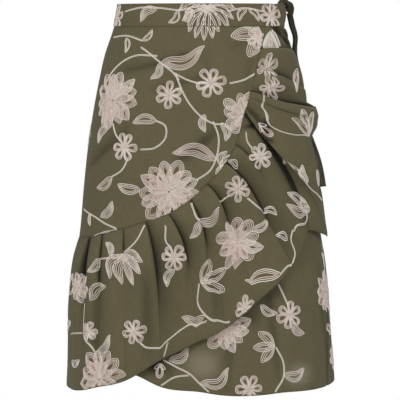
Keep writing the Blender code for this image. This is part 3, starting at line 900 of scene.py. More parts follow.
@dataclass
class Needle:
    """Draws the embroidery's motifs as lines in metres, with small uneven steps as handwork has.

    Fields:
        half: half the width of a line of chain stitch.
        close: distance between the middles of two lines that touch.
        open: the same where cloth shows between them.
        middling, large: lengths from which a leaf is more open, and narrower with one more outline.
        chance: the unevenness, in a fixed order.
    """

    half: float = 0.60 * MM
    close: float = 1.42 * MM
    open: float = 2.45 * MM
    middling: float = 0.030
    large: float = 0.040
    chance: np.random.Generator = field(default_factory=lambda: np.random.default_rng(7))

    def uneven(self, spread: float, middle: float = 1.0) -> float:
        """A number near the middle one."""
        return middle + spread * float(self.chance.uniform(-1, 1))

    def almond(self, length: float, width: float, heading: float, bend: float = 0.0, sway: float = 0.0,
               base: float = 0.0, blunt: float = 0.5, slim: float = 0.95, lop: float = 0.0, rings: int = 2,
               gap: float | None = None, tone: float = 0.0, over: float = 0.0) -> list[Line]:
        """Nested outlines of a petal or leaf, from the motif's middle to its tip.

        Its axis turns by bend over its length and sways by sway to one side and back, and is scaled so
        that base and tip stay in place.  Along it, s from 0 to 1, the half width is a bell
        s^slim (1-s)^blunt, scaled to the width.  Each further outline lies one gap inside the last.

        Args:
            length, width: the outermost outline's size.
            heading: its direction, in degrees.
            bend, sway: how its axis turns, in degrees.
            base: how far from the motif's middle it starts.
            blunt, slim: its tip and its base: 0.4 is round and 1 is pointed.
            lop: how much fuller one side is than the other.
            rings: how many outlines.
            gap: distance from one outline to the next.
            tone: shade of the outermost outline; the inner ones blush more.
            over: how high it lies over the cloth.

        Returns:
            Its closed lines.
        """
        gap = gap or self.close
        lines = []
        turn = math.radians(heading)
        rows = np.linspace(0, 1, 48)
        angle = math.radians(bend) * (rows - 0.5) + math.radians(sway) * np.sin(2 * np.pi * rows)
        axis = np.cumsum(np.exp(1j * angle)) - np.exp(1j * angle)
        axis = axis / axis[-1] * length
        slope = np.gradient(axis)
        peak = slim / (slim + blunt)
        for ring in range(rings):
            inner_length = length - 2.4 * gap * ring
            inner_width = width - 2 * gap * ring
            if inner_width < gap * 0.8 or inner_length < 2 * gap:
                break
            t = np.linspace(0, 2 * np.pi, max(14, int(2.2 * inner_length / MM)), endpoint=False)
            s = (1 - np.cos(t)) / 2
            bell = s**slim * (1 - s) ** blunt / (peak**slim * (1 - peak) ** blunt)
            side = np.sign(np.sin(t)) * bell * inner_width / 2 * (1 + lop * np.sign(np.sin(t)))
            share = 1.15 * gap * ring / length + s * inner_length / length
            middle = np.interp(share, rows, axis.real) + 1j * np.interp(share, rows, axis.imag)
            ahead = np.interp(share, rows, slope.real) + 1j * np.interp(share, rows, slope.imag)
            outline = (base + middle + 1j * ahead / np.abs(ahead) * side) * np.exp(1j * turn)
            shade = min(1.0, max(0.0, self.uneven(0.14, tone + 0.20 * ring)))
            lines.append(Line(outline.real, outline.imag, self.half, shade, True, over))
        return lines

    def ring(self, radius: float, tone: float, over: float = 0.0) -> Line:
        """A round stitch line."""
        t = np.linspace(0, 2 * np.pi, max(8, int(8 * radius / MM)), endpoint=False)
        return Line(radius * np.cos(t), radius * np.sin(t), self.half, tone, True, over)

    def ray(self, heading: float, start: float, end: float, tone: float, over: float,
            bend: float = 0.0) -> Line:
        """A line that runs outwards from the middle."""
        way = np.linspace(start, end, 8)
        angle = math.radians(heading) + math.radians(bend) * (way - start) / (end - start)
        return Line(way * np.cos(angle), way * np.sin(angle), self.half, tone, False, over)

    def daisy(self, size: float, petals: int = 6) -> list[Line]:
        """A small flower of round petals, each of up to three outlines, about a filled eye."""
        lines = []
        for petal in range(petals):
            heading = 360 / petals * self.uneven(0.10, petal)
            reach = self.uneven(0.07) * size
            lines += self.almond(reach * 0.86, reach * self.uneven(0.05, 0.56), heading, base=reach * 0.14,
                                 blunt=0.36, slim=0.80, bend=self.uneven(14, 0), rings=3,
                                 tone=self.uneven(0.18, 0.22), over=0.25 * MM * (petal % 2))
            lines.append(self.ray(heading + 180 / petals, size * 0.08, size * 0.40, 0.3, 0.35 * MM))
        return lines + [self.ring(radius * MM, 0.45, 0.5 * MM) for radius in (0.9, 2.1)]

    def blossom(self, size: float, petals: int = 13) -> list[Line]:
        """A large flower: an outer round of petals of nested outlines with cloth between them, a filled
        inner round over their roots, and rays that fill its middle."""
        lines = []
        rounds = (
            (petals, 0.0, 1.00, 0.26, 0.46, 4, 2.05 * MM, 0.02, 0.00, 0.80),
            (petals - 2, 0.5, 0.70, 0.16, 0.29, 3, 1.60 * MM, 0.22, 0.42, 1.00),
        )
        for count, start, share, root, broad, rings, gap, tone, over, blunt in rounds:
            for petal in range(count):
                heading = 360 / count * self.uneven(0.22, petal + start)
                reach = self.uneven(0.13) * size * share
                lines += self.almond(reach * (1 - root), size * self.uneven(0.06, broad), heading,
                                     base=reach * root, bend=self.uneven(36, 0),
                                     blunt=self.uneven(0.26, blunt), slim=0.80, rings=rings, gap=gap,
                                     tone=self.uneven(0.16, tone + 0.16),
                                     over=(over + 0.22 * (petal % 2)) * MM)
        for ray in range(24):
            lines.append(self.ray(self.uneven(0.3, ray) * 15.0, size * 0.03, size * self.uneven(0.14, 0.40),
                                  self.uneven(0.40, 0.50), 0.80 * MM, self.uneven(14, 0)))
        return lines

    def fan(self, size: float, headings: tuple[float, ...], width: float, bend: float, rings: int,
            blunt: float = 0.85, tone: float = 0.12, sway: float = 0.0) -> list[Line]:
        """Petals that spread from one point; outer ones bend and sway away from the middle one."""
        lines = []
        widest = max(abs(heading) for heading in headings) or 1.0
        for number, heading in enumerate(headings):
            reach = size * (1 - 0.12 * abs(heading) / widest) * self.uneven(0.06)
            lines += self.almond(reach, size * width, heading, bend=bend * heading / widest,
                                 sway=sway * heading / widest + self.uneven(8, 0), blunt=blunt, slim=0.72,
                                 rings=rings, gap=self.open,
                                 tone=tone, lop=-0.25 * heading / widest, over=0.2 * MM * (number % 2))
        return lines

    def lily(self, size: float, petals: int = 5) -> list[Line]:
        """A bell flower seen from its side: a fan of striped petals."""
        spread = 10.0 + 8.0 * petals
        headings = tuple(np.linspace(-spread, spread, petals))
        return self.fan(size, headings, 0.27 if petals < 6 else 0.20, -26, 3, sway=34.0)

    def tulip(self, size: float) -> list[Line]:
        """A cup of three pointed petals of nested lines."""
        return self.fan(size, (-46, -2, 44), 0.38, 24, 4, blunt=0.70, sway=22.0)

    def patch(self, size: float) -> list[Line]:
        """The broad base of a flower that runs into a fold: one petal, filled edge to edge."""
        outer = self.almond(size, size * 0.98, 0.0, blunt=0.20, slim=1.0, rings=10, gap=1.10 * MM, tone=-1.0)
        return outer + self.almond(size * 0.5, size * 0.24, 0.0, base=size * 0.35, rings=4, gap=1.10 * MM)

    def leaf(self, size: float, bend: float = 30.0) -> list[Line]:
        """A pointed leaf of nested outlines, which sways to one side and back."""
        width = size * (0.40 if size < self.large else 0.30)
        rings = 4 if size > self.large else 3
        gap = self.open if size > self.middling else 2.0 * MM
        return self.almond(size, width, 0.0, bend=0.6 * bend, sway=-1.1 * bend, blunt=0.95, slim=0.75,
                           rings=rings, gap=gap, tone=0.1, lop=0.003 * bend)

    def bud(self, size: float) -> list[Line]:
        """A closed bud: one round petal in a cup of two small leaves."""
        lines = self.almond(size, size * 0.5, 0.0, blunt=0.5, rings=3, tone=0.3)
        return lines + self.fan(size * 0.62, (-44, 44), 0.34, 20, 2)

    def draw(self, motif: Motif, size: float, detail: float) -> list[Line]:
        """A motif's lines about its own origin, heading along +x.

        Args:
            motif: which one.
            size: its reach from its origin.
            detail: a leaf's bend in degrees, or how many petals a daisy, blossom or lily has.

        Returns:
            The lines, in the order in which they are drawn.
        """
        shapes = {
            Motif.DAISY: lambda: self.daisy(size, int(detail) or 6),
            Motif.BLOSSOM: lambda: self.blossom(size, int(detail) or 13),
            Motif.LILY: lambda: self.lily(size, int(detail) or 5),
            Motif.LEAF: lambda: self.leaf(size, detail),
            Motif.TULIP: lambda: self.tulip(size),
            Motif.BUD: lambda: self.bud(size),
            Motif.PATCH: lambda: self.patch(size),
        }
        return shapes[motif]()


@dataclass
class Embroidery:
    """The embroidery of one panel: motifs and vines at places in the panel's coordinates.

    Fields:
        work: the thread lines that it adds to.
        needle: draws its motifs.
        stem_gap, stem_sway: distance between the stems of a drift, and how far they wind.
        leaf_reach, leaf_rise: how far a drift's leaves reach to the side and up.
    """

    work: ThreadWork
    needle: Needle
    stem_gap: float = 0.085
    stem_sway: float = 0.017
    leaf_reach: float = 0.030
    leaf_rise: float = 0.012

    def motif(self, kind: Motif, x: float, y: float, heading: float, size: float, detail: float = 0.0,
              near: Place | None = None) -> None:
        """Place a motif: its own metres are turned by heading, then put in the panel's units as they are
        near a place, which is the motif's own unless another is given."""
        angle = math.radians(heading)
        for line in self.needle.draw(kind, size, detail):
            across = line.x * math.cos(angle) - line.y * math.sin(angle)
            upward = line.x * math.sin(angle) + line.y * math.cos(angle)
            placed = self.work.panel.step(x, y, across, upward, near or (x, y))
            self.work.lines.append(Line(*placed, line.half, line.tone, line.closed, line.over))

    def vine(self, points: tuple[Place, ...], strands: int = 2, tone: float = 0.1) -> None:
        """Lay a stem of side-by-side lines along a smooth curve through places on the panel."""
        x, y = np.array(points, float).T
        wide, _ = self.work.panel.scale(x, y)
        way = totals(np.hypot(np.diff(x) * wide[:-1], np.diff(y)))
        even = np.linspace(0, way[-1], max(6, int(way[-1] / (2.5 * MM))))
        x, y = smooth(even, way, x), smooth(even, way, y)
        wide, _ = self.work.panel.scale(x, y)
        ends = np.gradient(x) * wide, np.gradient(y)
        length = np.hypot(*ends)
        for strand in range(strands):
            side = (strand - (strands - 1) / 2) * self.needle.close
            self.work.lines.append(Line(x - ends[1] / length / wide * side, y + ends[0] / length * side,
                                        self.needle.half, tone + 0.15 * strand, False, -0.1 * MM))

    def spray(self, kind: Motif, x: float, y: float, tip_x: float, tip_y: float, detail: float = 0.0) -> None:
        """Place a motif from its base to its tip."""
        near = (x + tip_x) / 2, (y + tip_y) / 2
        across, upward = self.work.panel.reach(tip_x - x, tip_y - y, near)
        heading = math.degrees(math.atan2(upward, across))
        self.motif(kind, x, y, heading, math.hypot(across, upward), detail, near)

    def add(self, flowers: tuple = (), sprays: tuple = (), vines: tuple = (), shift: float = 0.0) -> None:
        """Add tables of flowers (kind, x, y, heading, size, detail), sprays (kind, base x, base y, tip x,
        tip y, detail) and vines (places in order), with shift added to every x."""
        for points in vines:
            self.vine(tuple((x + shift, y) for x, y in points))
        for kind, x, y, tip_x, tip_y, detail in sprays:
            self.spray(kind, x + shift, y, tip_x + shift, tip_y, detail)
        for kind, x, y, heading, size, detail in flowers:
            self.motif(kind, x + shift, y, heading, size, detail)

    def repeat(self, start: float, end: float, low: float, high: float, seed: int) -> None:
        """Fill a strip of panel with the same plants in a plain drift: stems that wind up it, each with
        leaves by turns, daisies and a large flower at its top.

        Args:
            start, end: the strip's range across, in the panel's units.
            low, high: its range up, in metres.
            seed: which drift.
        """
        chance = np.random.default_rng(seed)
        wide, _ = self.work.panel.scale(np.array([(start + end) / 2]), np.array([(low + high) / 2]))
        wide = float(wide[0])
        stems = max(1, round((end - start) * wide / self.stem_gap))
        for stem in range(stems):
            middle = start + (end - start) * (stem + 0.5) / stems
            side = 1 if stem % 2 else -1
            drop = (high - low) * 0.12 * (stem % 2)
            levels = np.linspace(low + 0.02 + drop / 2, high - 0.035 - drop, 9)
            sway = self.stem_sway * np.sin(np.linspace(0, 2.2 * np.pi, 9)) * side
            xs = middle + (sway + 0.004 * chance.uniform(-1, 1, 9)) / wide
            self.vine(tuple(zip(xs, levels)))
            for step in range(1, 8):
                way = side * (1 if step % 2 else -1)
                reach = self.leaf_reach * (1 + 0.25 * chance.uniform(-1, 1))
                rise = self.leaf_rise + 0.006 * chance.uniform(-1, 1)
                if step % 3 == 2:
                    self.motif(Motif.DAISY, xs[step] + way * reach / wide, levels[step] + rise,
                               90 * chance.uniform(), 0.0125, 6)
                    self.vine(((xs[step], levels[step]), (xs[step] + way * 0.5 * reach / wide,
                                                         levels[step] + 0.7 * rise)), 1)
                elif step == 4:
                    self.spray(Motif.TULIP, xs[step], levels[step], xs[step] + way * 1.1 * reach / wide,
                               levels[step] + 2 * rise)
                else:
                    self.spray(Motif.LEAF, xs[step], levels[step], xs[step] + way * reach / wide,
                               levels[step] + rise, 30 * way)
            size = 0.034 if stem % 2 else 0.027
            self.motif(Motif.BLOSSOM, xs[-1], levels[-1], 0.0, size, 13 if stem % 2 else 11)


def stitched(work: ThreadWork, x: Array, y: Array, length: float = 2.3 * MM, gap: float = 1.0 * MM) -> None:
    """Lay a row of running stitches along a line of places on the work's panel."""
    way = work.panel.travel(x, y)
    starts = np.arange(gap, way[-1] - length, length + gap)
    for start in starts:
        even = np.array([start, start + length / 2, start + length])
        work.lines.append(Line(np.interp(even, way, x), np.interp(even, way, y), 0.35 * MM))


# ---- ties and knot ----
@dataclass
class Strand:
    """A doubled strip of cloth drawn along a path: a flat tube with folds that run along it.

    Fields:
        name, node: the piece and the solid that it stands for.
        path: its middle line, in metres.
        side: direction of its width at each point.
        width, depth: its size across at each point.
        folds: how many folds run along it.
        fold_depth: how deep they are at each point.
        first: whether this piece takes the solid's place, rather than riding with the one that does.
    """

    name: str
    node: str
    path: Array
    side: Array
    width: Array
    depth: Array
    folds: float
    fold_depth: Array
    first: bool = True
    closed: bool = False
    around: int = 36
    wall: float = 0.5 * MM

    def build(self, material: bpy.types.Material) -> bpy.types.Object:
        """The strip: each section is a flat oval, bent into its folds; the path may be a loop."""
        tangent = unit(np.gradient(self.path, axis=0))
        if self.closed:
            tangent[0] = tangent[-1] = unit(self.path[1] - self.path[-2])
        front = unit(np.cross(tangent, self.side))
        side = unit(np.cross(front, tangent))
        t = np.linspace(0, 2 * np.pi, self.around, endpoint=False)[:, None]
        across = np.cos(t)
        thick = np.sign(np.sin(t)) * np.abs(np.sin(t)) ** 0.7 * self.depth / 2
        fold = self.fold_depth * np.cos(np.pi * self.folds * across + 0.6)
        offset = (thick + fold)[..., None] * front + (across * self.width / 2)[..., None] * side
        points = self.path + offset
        rows, columns = points.shape[:2]
        way = totals(lengths(self.path))
        flat = np.stack(np.broadcast_arrays(t / (2 * np.pi) * 2 * float(self.width.mean()), -way), axis=-1)
        piece = make_piece(self.name, points.reshape(-1, 3), grid_faces(rows, columns, wrap=True),
                           flat.reshape(-1, 2), material)
        wall = piece.modifiers.new("Wall", "SOLIDIFY")
        wall.thickness = self.wall
        wall.offset = -1.0
        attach(piece, BODY)
        if self.first:
            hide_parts(self.node)
        return piece


def tie(name: str, node: str, route: tuple, folds: float) -> Strand:
    """A tie along its route's rows, bunched into folds where it leaves the knot and flat at its end."""
    rows = np.linspace(0, 1, len(route))
    place = np.linspace(0, 1, 110)
    angle, height, out, width, twist = (smooth(place, rows, values) for values in np.array(route).T)
    line = FORM.at(angle, height, out)
    outward = np.radians(angle - twist)
    level = np.zeros_like(place)
    side = np.stack([np.cos(outward), np.sin(outward), level], axis=-1)
    slant = 0.5 * place**12
    line = line - np.stack([level, level, 0.15 * width * slant], axis=-1)
    side = unit(side - np.stack([level, level, slant], axis=-1))
    bunched = (1 - place) ** 1.6
    waver = 0.7 * MM * np.sin(9 * place) * place
    return Strand(name, node, line, side, width, (1.5 + 1.9 * bunched) * MM, folds,
                  (1.15 * bunched + 0.25) * MM + 0.3 * waver)


@dataclass(frozen=True)
class Knot:
    """The knot of the ties, at the outer end of the band: p is outwards, q towards the front and z up,
    in millimetres from its middle."""

    angle: float = 91.1
    height: float = -0.0045
    out: float = 0.0067
    deep: float = 5.9
    wide: float = 10.2
    tall: float = 8.2
    lean: float = 0.16

    def frame(self) -> tuple[Array, Array, Array]:
        """Its middle and its outward and forward directions."""
        middle = FORM.at(np.array(self.angle), np.array(self.height), self.out)
        outward = unit(FORM.at(np.array(self.angle), np.array(self.height), self.out + 0.01) - middle)
        return middle, outward, np.array([outward[1], -outward[0], 0.0])

    def path(self, places: tuple, count: int) -> Array:
        """A smooth path through places (p, q, z)."""
        middle, outward, forward = self.frame()
        p, q, z = np.array(places, float).T * MM
        rows = np.linspace(0, 1, len(places))
        even = np.linspace(0, 1, count)
        p, q, z = (smooth(even, rows, values)[:, None] for values in (p, q, z))
        return middle + p * outward + q * forward + z * np.array([0, 0, 1.0])

    def core(self, material: bpy.types.Material) -> bpy.types.Object:
        """The bundle in the middle: a ball drawn in round its waist, with creases that run down into
        that waist from both ends."""
        middle, outward, forward = self.frame()
        down = np.linspace(0.02, np.pi - 0.02, 40)[:, None]
        turn = np.linspace(0, 2 * np.pi, 73)[None, :]
        rim, z = np.sin(down), np.cos(down)
        crease = 0.10 * np.cos(7 * turn + 2.2 * z + 0.8) + 0.05 * np.cos(11 * turn - 3 * z)
        shape = rim * (1 - 0.20 * np.exp(-((z / 0.3) ** 2))) * (1 + crease * (0.35 + 0.65 * np.abs(z)))
        p = self.deep * MM * shape * np.cos(turn) - self.lean * self.tall * MM * z
        q = self.wide * MM * shape * np.sin(turn)
        points = middle + p[..., None] * outward + q[..., None] * forward
        points = points + (self.tall * MM * z + 0 * turn)[..., None] * np.array([0, 0, 1.0])
        flat = np.stack(np.broadcast_arrays(turn * 7 * MM, -down * 8 * MM), axis=-1)
        piece = make_piece("knot_core", points.reshape(-1, 3), grid_faces(*points.shape[:2])[:, ::-1],
                           flat.reshape(-1, 2), material)
        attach(piece, BODY)
        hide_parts("tie_knot")
        return piece

    def wraps(self) -> tuple[Strand, ...]:
        """The tie that comes off the band's gathered end and bends over the knot's shoulder, the other
        tie's turn round the bundle, and the roll where that tie comes over the band's top."""
        over = self.path(((-6.0, 4.5, -5.0), (-5.0, 7.4, 1.0), (-2.0, 8.6, 4.6), (2.0, 8.4, 4.0),
                          (4.2, 7.4, -1.5), (3.4, 5.6, -8.0), (1.6, 3.6, -14.0)), 60)
        ones = np.ones(60)
        _, outward, forward = self.frame()
        tangent = unit(np.gradient(over, axis=0))
        place = np.linspace(0, 1, 60)
        shoulder = Strand("knot_shoulder", "tie_knot", over, unit(np.cross(tangent, forward)),
                          (7.0 + 2.2 * place) * MM, 2.6 * MM * ones, 3.0, 0.8 * MM * ones, first=False)
        t = np.linspace(0, 2 * np.pi, 72)
        middle = self.frame()[0]
        ring = middle + (5.6 * MM * np.cos(t))[:, None] * outward + (9.6 * MM * np.sin(t))[:, None] * forward
        ring = ring + (1.6 * MM * np.cos(t + 0.7) - 0.6 * MM)[:, None] * np.array([0, 0, 1.0])
        ones = np.ones(72)
        turn = Strand("knot_turn", "tie_knot", ring, np.tile([0, 0, 1.0], (72, 1)), 7.0 * MM * ones,
                      2.4 * MM * ones, 2.6, 0.6 * MM * ones, first=False, closed=True)
        places = np.array(((73.0, -0.0040, -0.0035), (74.5, 0.0030, -0.0020), (78.0, 0.0052, 0.0030),
                           (82.0, 0.0030, 0.0056), (86.5, -0.0010, 0.0075), (90.5, -0.0045, 0.0100)))
        even, rows = np.linspace(0, 1, 50), np.linspace(0, 1, len(places))
        roll_path = FORM.at(*(smooth(even, rows, values) for values in places.T))
        roll_side = unit(np.gradient(roll_path, axis=0))
        ones = np.ones(50)
        roll = Strand("knot_roll", "tie_knot", roll_path, unit(np.cross(roll_side, outward)),
                      (6.5 + 1.5 * even) * MM, (3.4 - 0.6 * even) * MM, 2.2, 0.7 * MM * ones, first=False)
        return shoulder, turn, roll


# ---- finishes ----
class Graph:
    """A node tree and short ways to add to it."""

    def __init__(self, tree: bpy.types.NodeTree) -> None:
        """Work on this tree."""
        self.tree = tree

    def node(self, kind: str, settings: dict | None = None, **sockets: object) -> bpy.types.Node:
        """Add a node with settings, and feed its inputs by name: a socket is linked, a value is set.

        An input's name has _ for a space; i and a number picks it by position.
        """
        node = self.tree.nodes.new(kind)
        for key, value in (settings or {}).items():
            setattr(node, key, value)
        for key, value in sockets.items():
            socket = node.inputs[int(key[1:])] if key[1:].isdigit() else node.inputs[key.replace("_", " ")]
            if isinstance(value, bpy.types.NodeSocket):
                self.tree.links.new(value, socket)
            else:
                socket.default_value = value
        return node

    def math(self, operation: str, first: object, second: object = 0.0,
             third: object = 0.0) -> bpy.types.NodeSocket:
        """The outcome of a math node."""
        return self.node("ShaderNodeMath", {"operation": operation}, i0=first, i1=second, i2=third).outputs[0]

    def mix(self, share: object, low: object, high: object) -> bpy.types.NodeSocket:
        """Two colours mixed by a share."""
        node = self.node("ShaderNodeMix", {"data_type": "RGBA"}, i0=share, i6=low, i7=high)
        return node.outputs[2]


def new_material(name: str) -> tuple[bpy.types.Material, Graph, bpy.types.Node]:
    """A new material with its graph and its Principled shader."""
    made = bpy.data.materials.new(name)
    made.use_nodes = True
    return made, Graph(made.node_tree), made.node_tree.nodes["Principled BSDF"]


def new_group(name: str, inputs: dict[str, str], outputs: tuple[str, ...]) -> tuple[Graph, Array, Array]:
    """A shader node group with its inputs (name and socket type) and its value outputs."""
    tree = bpy.data.node_groups.new(name, "ShaderNodeTree")
    for key, kind in inputs.items():
        tree.interface.new_socket(name=key, in_out="INPUT", socket_type=kind)
    for key in outputs:
        tree.interface.new_socket(name=key, in_out="OUTPUT", socket_type="NodeSocketFloat")
    graph = Graph(tree)
    return graph, tree.nodes.new("NodeGroupInput").outputs, tree.nodes.new("NodeGroupOutput").inputs


def weave_group() -> bpy.types.NodeTree:
    """Plain weave: rounded threads along both ways of the cloth that go over and under by turns, and
    Slub, 0 to 1, where single threads are thicker or paler."""
    graph, given, found = new_group("plain_weave", {"Flat": "NodeSocketVector", "Pitch": "NodeSocketFloat"},
                                    ("Height", "Slub"))
    split = graph.node("ShaderNodeSeparateXYZ", i0=given["Flat"]).outputs
    waves = []
    for axis in (0, 1):
        turns = graph.math("DIVIDE", split[axis], given["Pitch"])
        waves.append(graph.math("SINE", graph.math("MULTIPLY", turns, math.pi)))
    thread = [graph.math("ABSOLUTE", wave) for wave in waves]
    which = graph.math("MULTIPLY_ADD", graph.math("MULTIPLY", waves[0], waves[1]), 0.5, 0.5)
    step = graph.math("SUBTRACT", thread[1], thread[0])
    graph.tree.links.new(graph.math("MULTIPLY_ADD", which, step, thread[0]), found["Height"])
    slubs = []
    for stretch in ((60.0, 700.0, 1.0), (700.0, 60.0, 1.0)):
        spread = graph.node("ShaderNodeVectorMath", {"operation": "MULTIPLY"}, i0=given["Flat"], i1=stretch)
        noise = graph.node("ShaderNodeTexNoise", Vector=spread.outputs[0], Scale=1.0, Detail=2.0)
        slubs.append(noise.outputs[0])
    both = graph.math("MULTIPLY", graph.math("ADD", slubs[0], slubs[1]), 0.5)
    graph.tree.links.new(both, found["Slub"])
    return graph.tree


def wear_group() -> bpy.types.NodeTree:
    """Soft uneven shade of washed cloth, 0 to 1: clouds of a few centimetres with finer mottling."""
    graph, given, found = new_group("washed_shade", {"Place": "NodeSocketVector", "Size": "NodeSocketFloat"},
                                    ("Shade",))
    scale = graph.math("DIVIDE", 1.0, given["Size"])
    large = graph.node("ShaderNodeTexNoise", Vector=given["Place"], Scale=scale, Detail=3.0).outputs[0]
    fine = graph.node("ShaderNodeTexNoise", Vector=given["Place"], Scale=graph.math("MULTIPLY", scale, 12.0),
                      Detail=3.0, Roughness=0.7).outputs[0]
    graph.tree.links.new(graph.math("MULTIPLY_ADD", large, 0.55, graph.math("MULTIPLY", fine, 0.45)),
                         found["Shade"])
    return graph.tree


def chain_group() -> bpy.types.NodeTree:
    """Chain stitch along a ribbon whose U counts links and whose V runs across it: two strands that
    part in the middle of a link and meet at its ends."""
    graph, given, found = new_group("chain_stitch", {"Along": "NodeSocketVector"}, ("Height",))
    split = graph.node("ShaderNodeSeparateXYZ", i0=given["Along"]).outputs
    link = graph.math("FRACT", split[0])
    part = graph.math("MULTIPLY", graph.math("SINE", graph.math("MULTIPLY", link, math.pi)), 0.30)
    away = graph.math("SUBTRACT", graph.math("ABSOLUTE", graph.math("SUBTRACT", split[1], 0.5)), part)
    strand = graph.math("SUBTRACT", 1.0, graph.math("MULTIPLY", graph.math("ABSOLUTE", away), 4.5))
    graph.tree.links.new(graph.math("MAXIMUM", strand, 0.0), found["Height"])
    return graph.tree


@dataclass(frozen=True)
class ClothFinish:
    """Thin olive cotton: its colour, how uneven it is and the weave, with painted shade and painted light
    from the pieces' tone.
    """

    name: str
    colour: tuple[float, float, float]
    roughness: float = 0.90
    sheen: float = 0.05
    pitch: float = 0.62 * MM
    relief: float = 0.16 * MM
    unevenness: float = 0.40
    # How dark the painted shade gets where the tone is 1.
    depth: float = 0.95

    def material(self, groups: dict[str, bpy.types.NodeTree]) -> bpy.types.Material:
        """The Blender material."""
        made, graph, shader = new_material(self.name)
        flat = graph.node("ShaderNodeUVMap", {"uv_map": "flat"}).outputs[0]
        place = graph.node("ShaderNodeTexCoord").outputs["Object"]
        weave = graph.node("ShaderNodeGroup", {"node_tree": groups["weave"]}, Flat=flat, Pitch=self.pitch)
        wear = graph.node("ShaderNodeGroup", {"node_tree": groups["wear"]}, Place=place, Size=0.07)
        shade = graph.math("ADD", graph.math("MULTIPLY", wear.outputs["Shade"], self.unevenness),
                           graph.math("MULTIPLY", weave.outputs["Slub"], 0.85))
        # Painted shade in the weave: its raised threads are lighter than the dips between them.
        shade = graph.math("ADD", shade, graph.math("MULTIPLY", weave.outputs["Height"], 0.16))
        low = (*(c * 0.42 for c in self.colour), 1.0)
        high = (*(c * 1.28 for c in self.colour), 1.0)
        even = graph.mix(shade, low, high)
        # Painted shade from the tone, towards near black, and below 0 painted light where thin cloth lets
        # light through.
        tone = graph.node("ShaderNodeAttribute", {"attribute_name": "tone"}).outputs["Fac"]
        dark = graph.mix(graph.math("MULTIPLY", graph.math("MAXIMUM", tone, 0.0), self.depth), even,
                         (0.010, 0.009, 0.006, 1.0))
        painted_sheer_light = graph.math("MAXIMUM", graph.math("MULTIPLY", tone, -1.0), 0.0)
        graph.tree.links.new(graph.mix(painted_sheer_light, dark, (0.230, 0.205, 0.140, 1.0)), shader.inputs["Base Color"])
        bump = graph.node("ShaderNodeBump", Strength=0.55, Distance=self.relief,
                          Height=weave.outputs["Height"])
        graph.tree.links.new(bump.outputs[0], shader.inputs["Normal"])
        shader.inputs["Roughness"].default_value = self.roughness
        shader.inputs["Sheen Weight"].default_value = self.sheen
        shader.inputs["Sheen Roughness"].default_value = 0.5
        shader.inputs["Specular IOR Level"].default_value = 0.25
        return made


@dataclass(frozen=True)
class ThreadFinish:
    """Thread: a main and a second colour, mixed by the pieces' own tone, and its stitch, with painted
    shade in the stitch's grooves.
    """

    name: str
    colour: tuple[float, float, float]
    second: tuple[float, float, float]
    roughness: float = 0.72
    relief: float = 0.35 * MM

    def material(self, groups: dict[str, bpy.types.NodeTree]) -> bpy.types.Material:
        """The Blender material."""
        made, graph, shader = new_material(self.name)
        flat = graph.node("ShaderNodeUVMap", {"uv_map": "flat"}).outputs[0]
        tone = graph.node("ShaderNodeAttribute", {"attribute_name": "tone"}).outputs["Fac"]
        chain = graph.node("ShaderNodeGroup", {"node_tree": groups["chain"]}, Along=flat)
        colour = graph.mix(tone, (*self.colour, 1.0), (*self.second, 1.0))
        # Painted shade in the grooves of the chain stitch, where its height is low.
        dark = graph.mix(0.22, colour, (0.20, 0.17, 0.12, 1.0))
        height = chain.outputs["Height"]
        raised = graph.math("MULTIPLY_ADD", height, 0.75, 0.25)
        graph.tree.links.new(graph.mix(raised, dark, colour), shader.inputs["Base Color"])
        bump = graph.node("ShaderNodeBump", Strength=0.6, Distance=self.relief, Height=height)
        graph.tree.links.new(bump.outputs[0], shader.inputs["Normal"])
        shader.inputs["Roughness"].default_value = self.roughness
        shader.inputs["Sheen Weight"].default_value = 0.2
        shader.inputs["Specular IOR Level"].default_value = 0.3
        return made


CLOTH = ClothFinish("olive_cotton", (0.124, 0.107, 0.056))
# Painted shade: the ties and knot are the olive cotton made darker, as they hang in shade.
TIE_CLOTH_PAINTED_SHADE = ClothFinish("olive_cotton_ties", (0.064, 0.057, 0.033))
THREAD = ThreadFinish("crewel_thread", (0.96, 0.91, 0.82), (0.72, 0.50, 0.43))
SEWING = ThreadFinish("sewing_thread", (0.115, 0.102, 0.060), (0.115, 0.102, 0.060), relief=0.1 * MM)


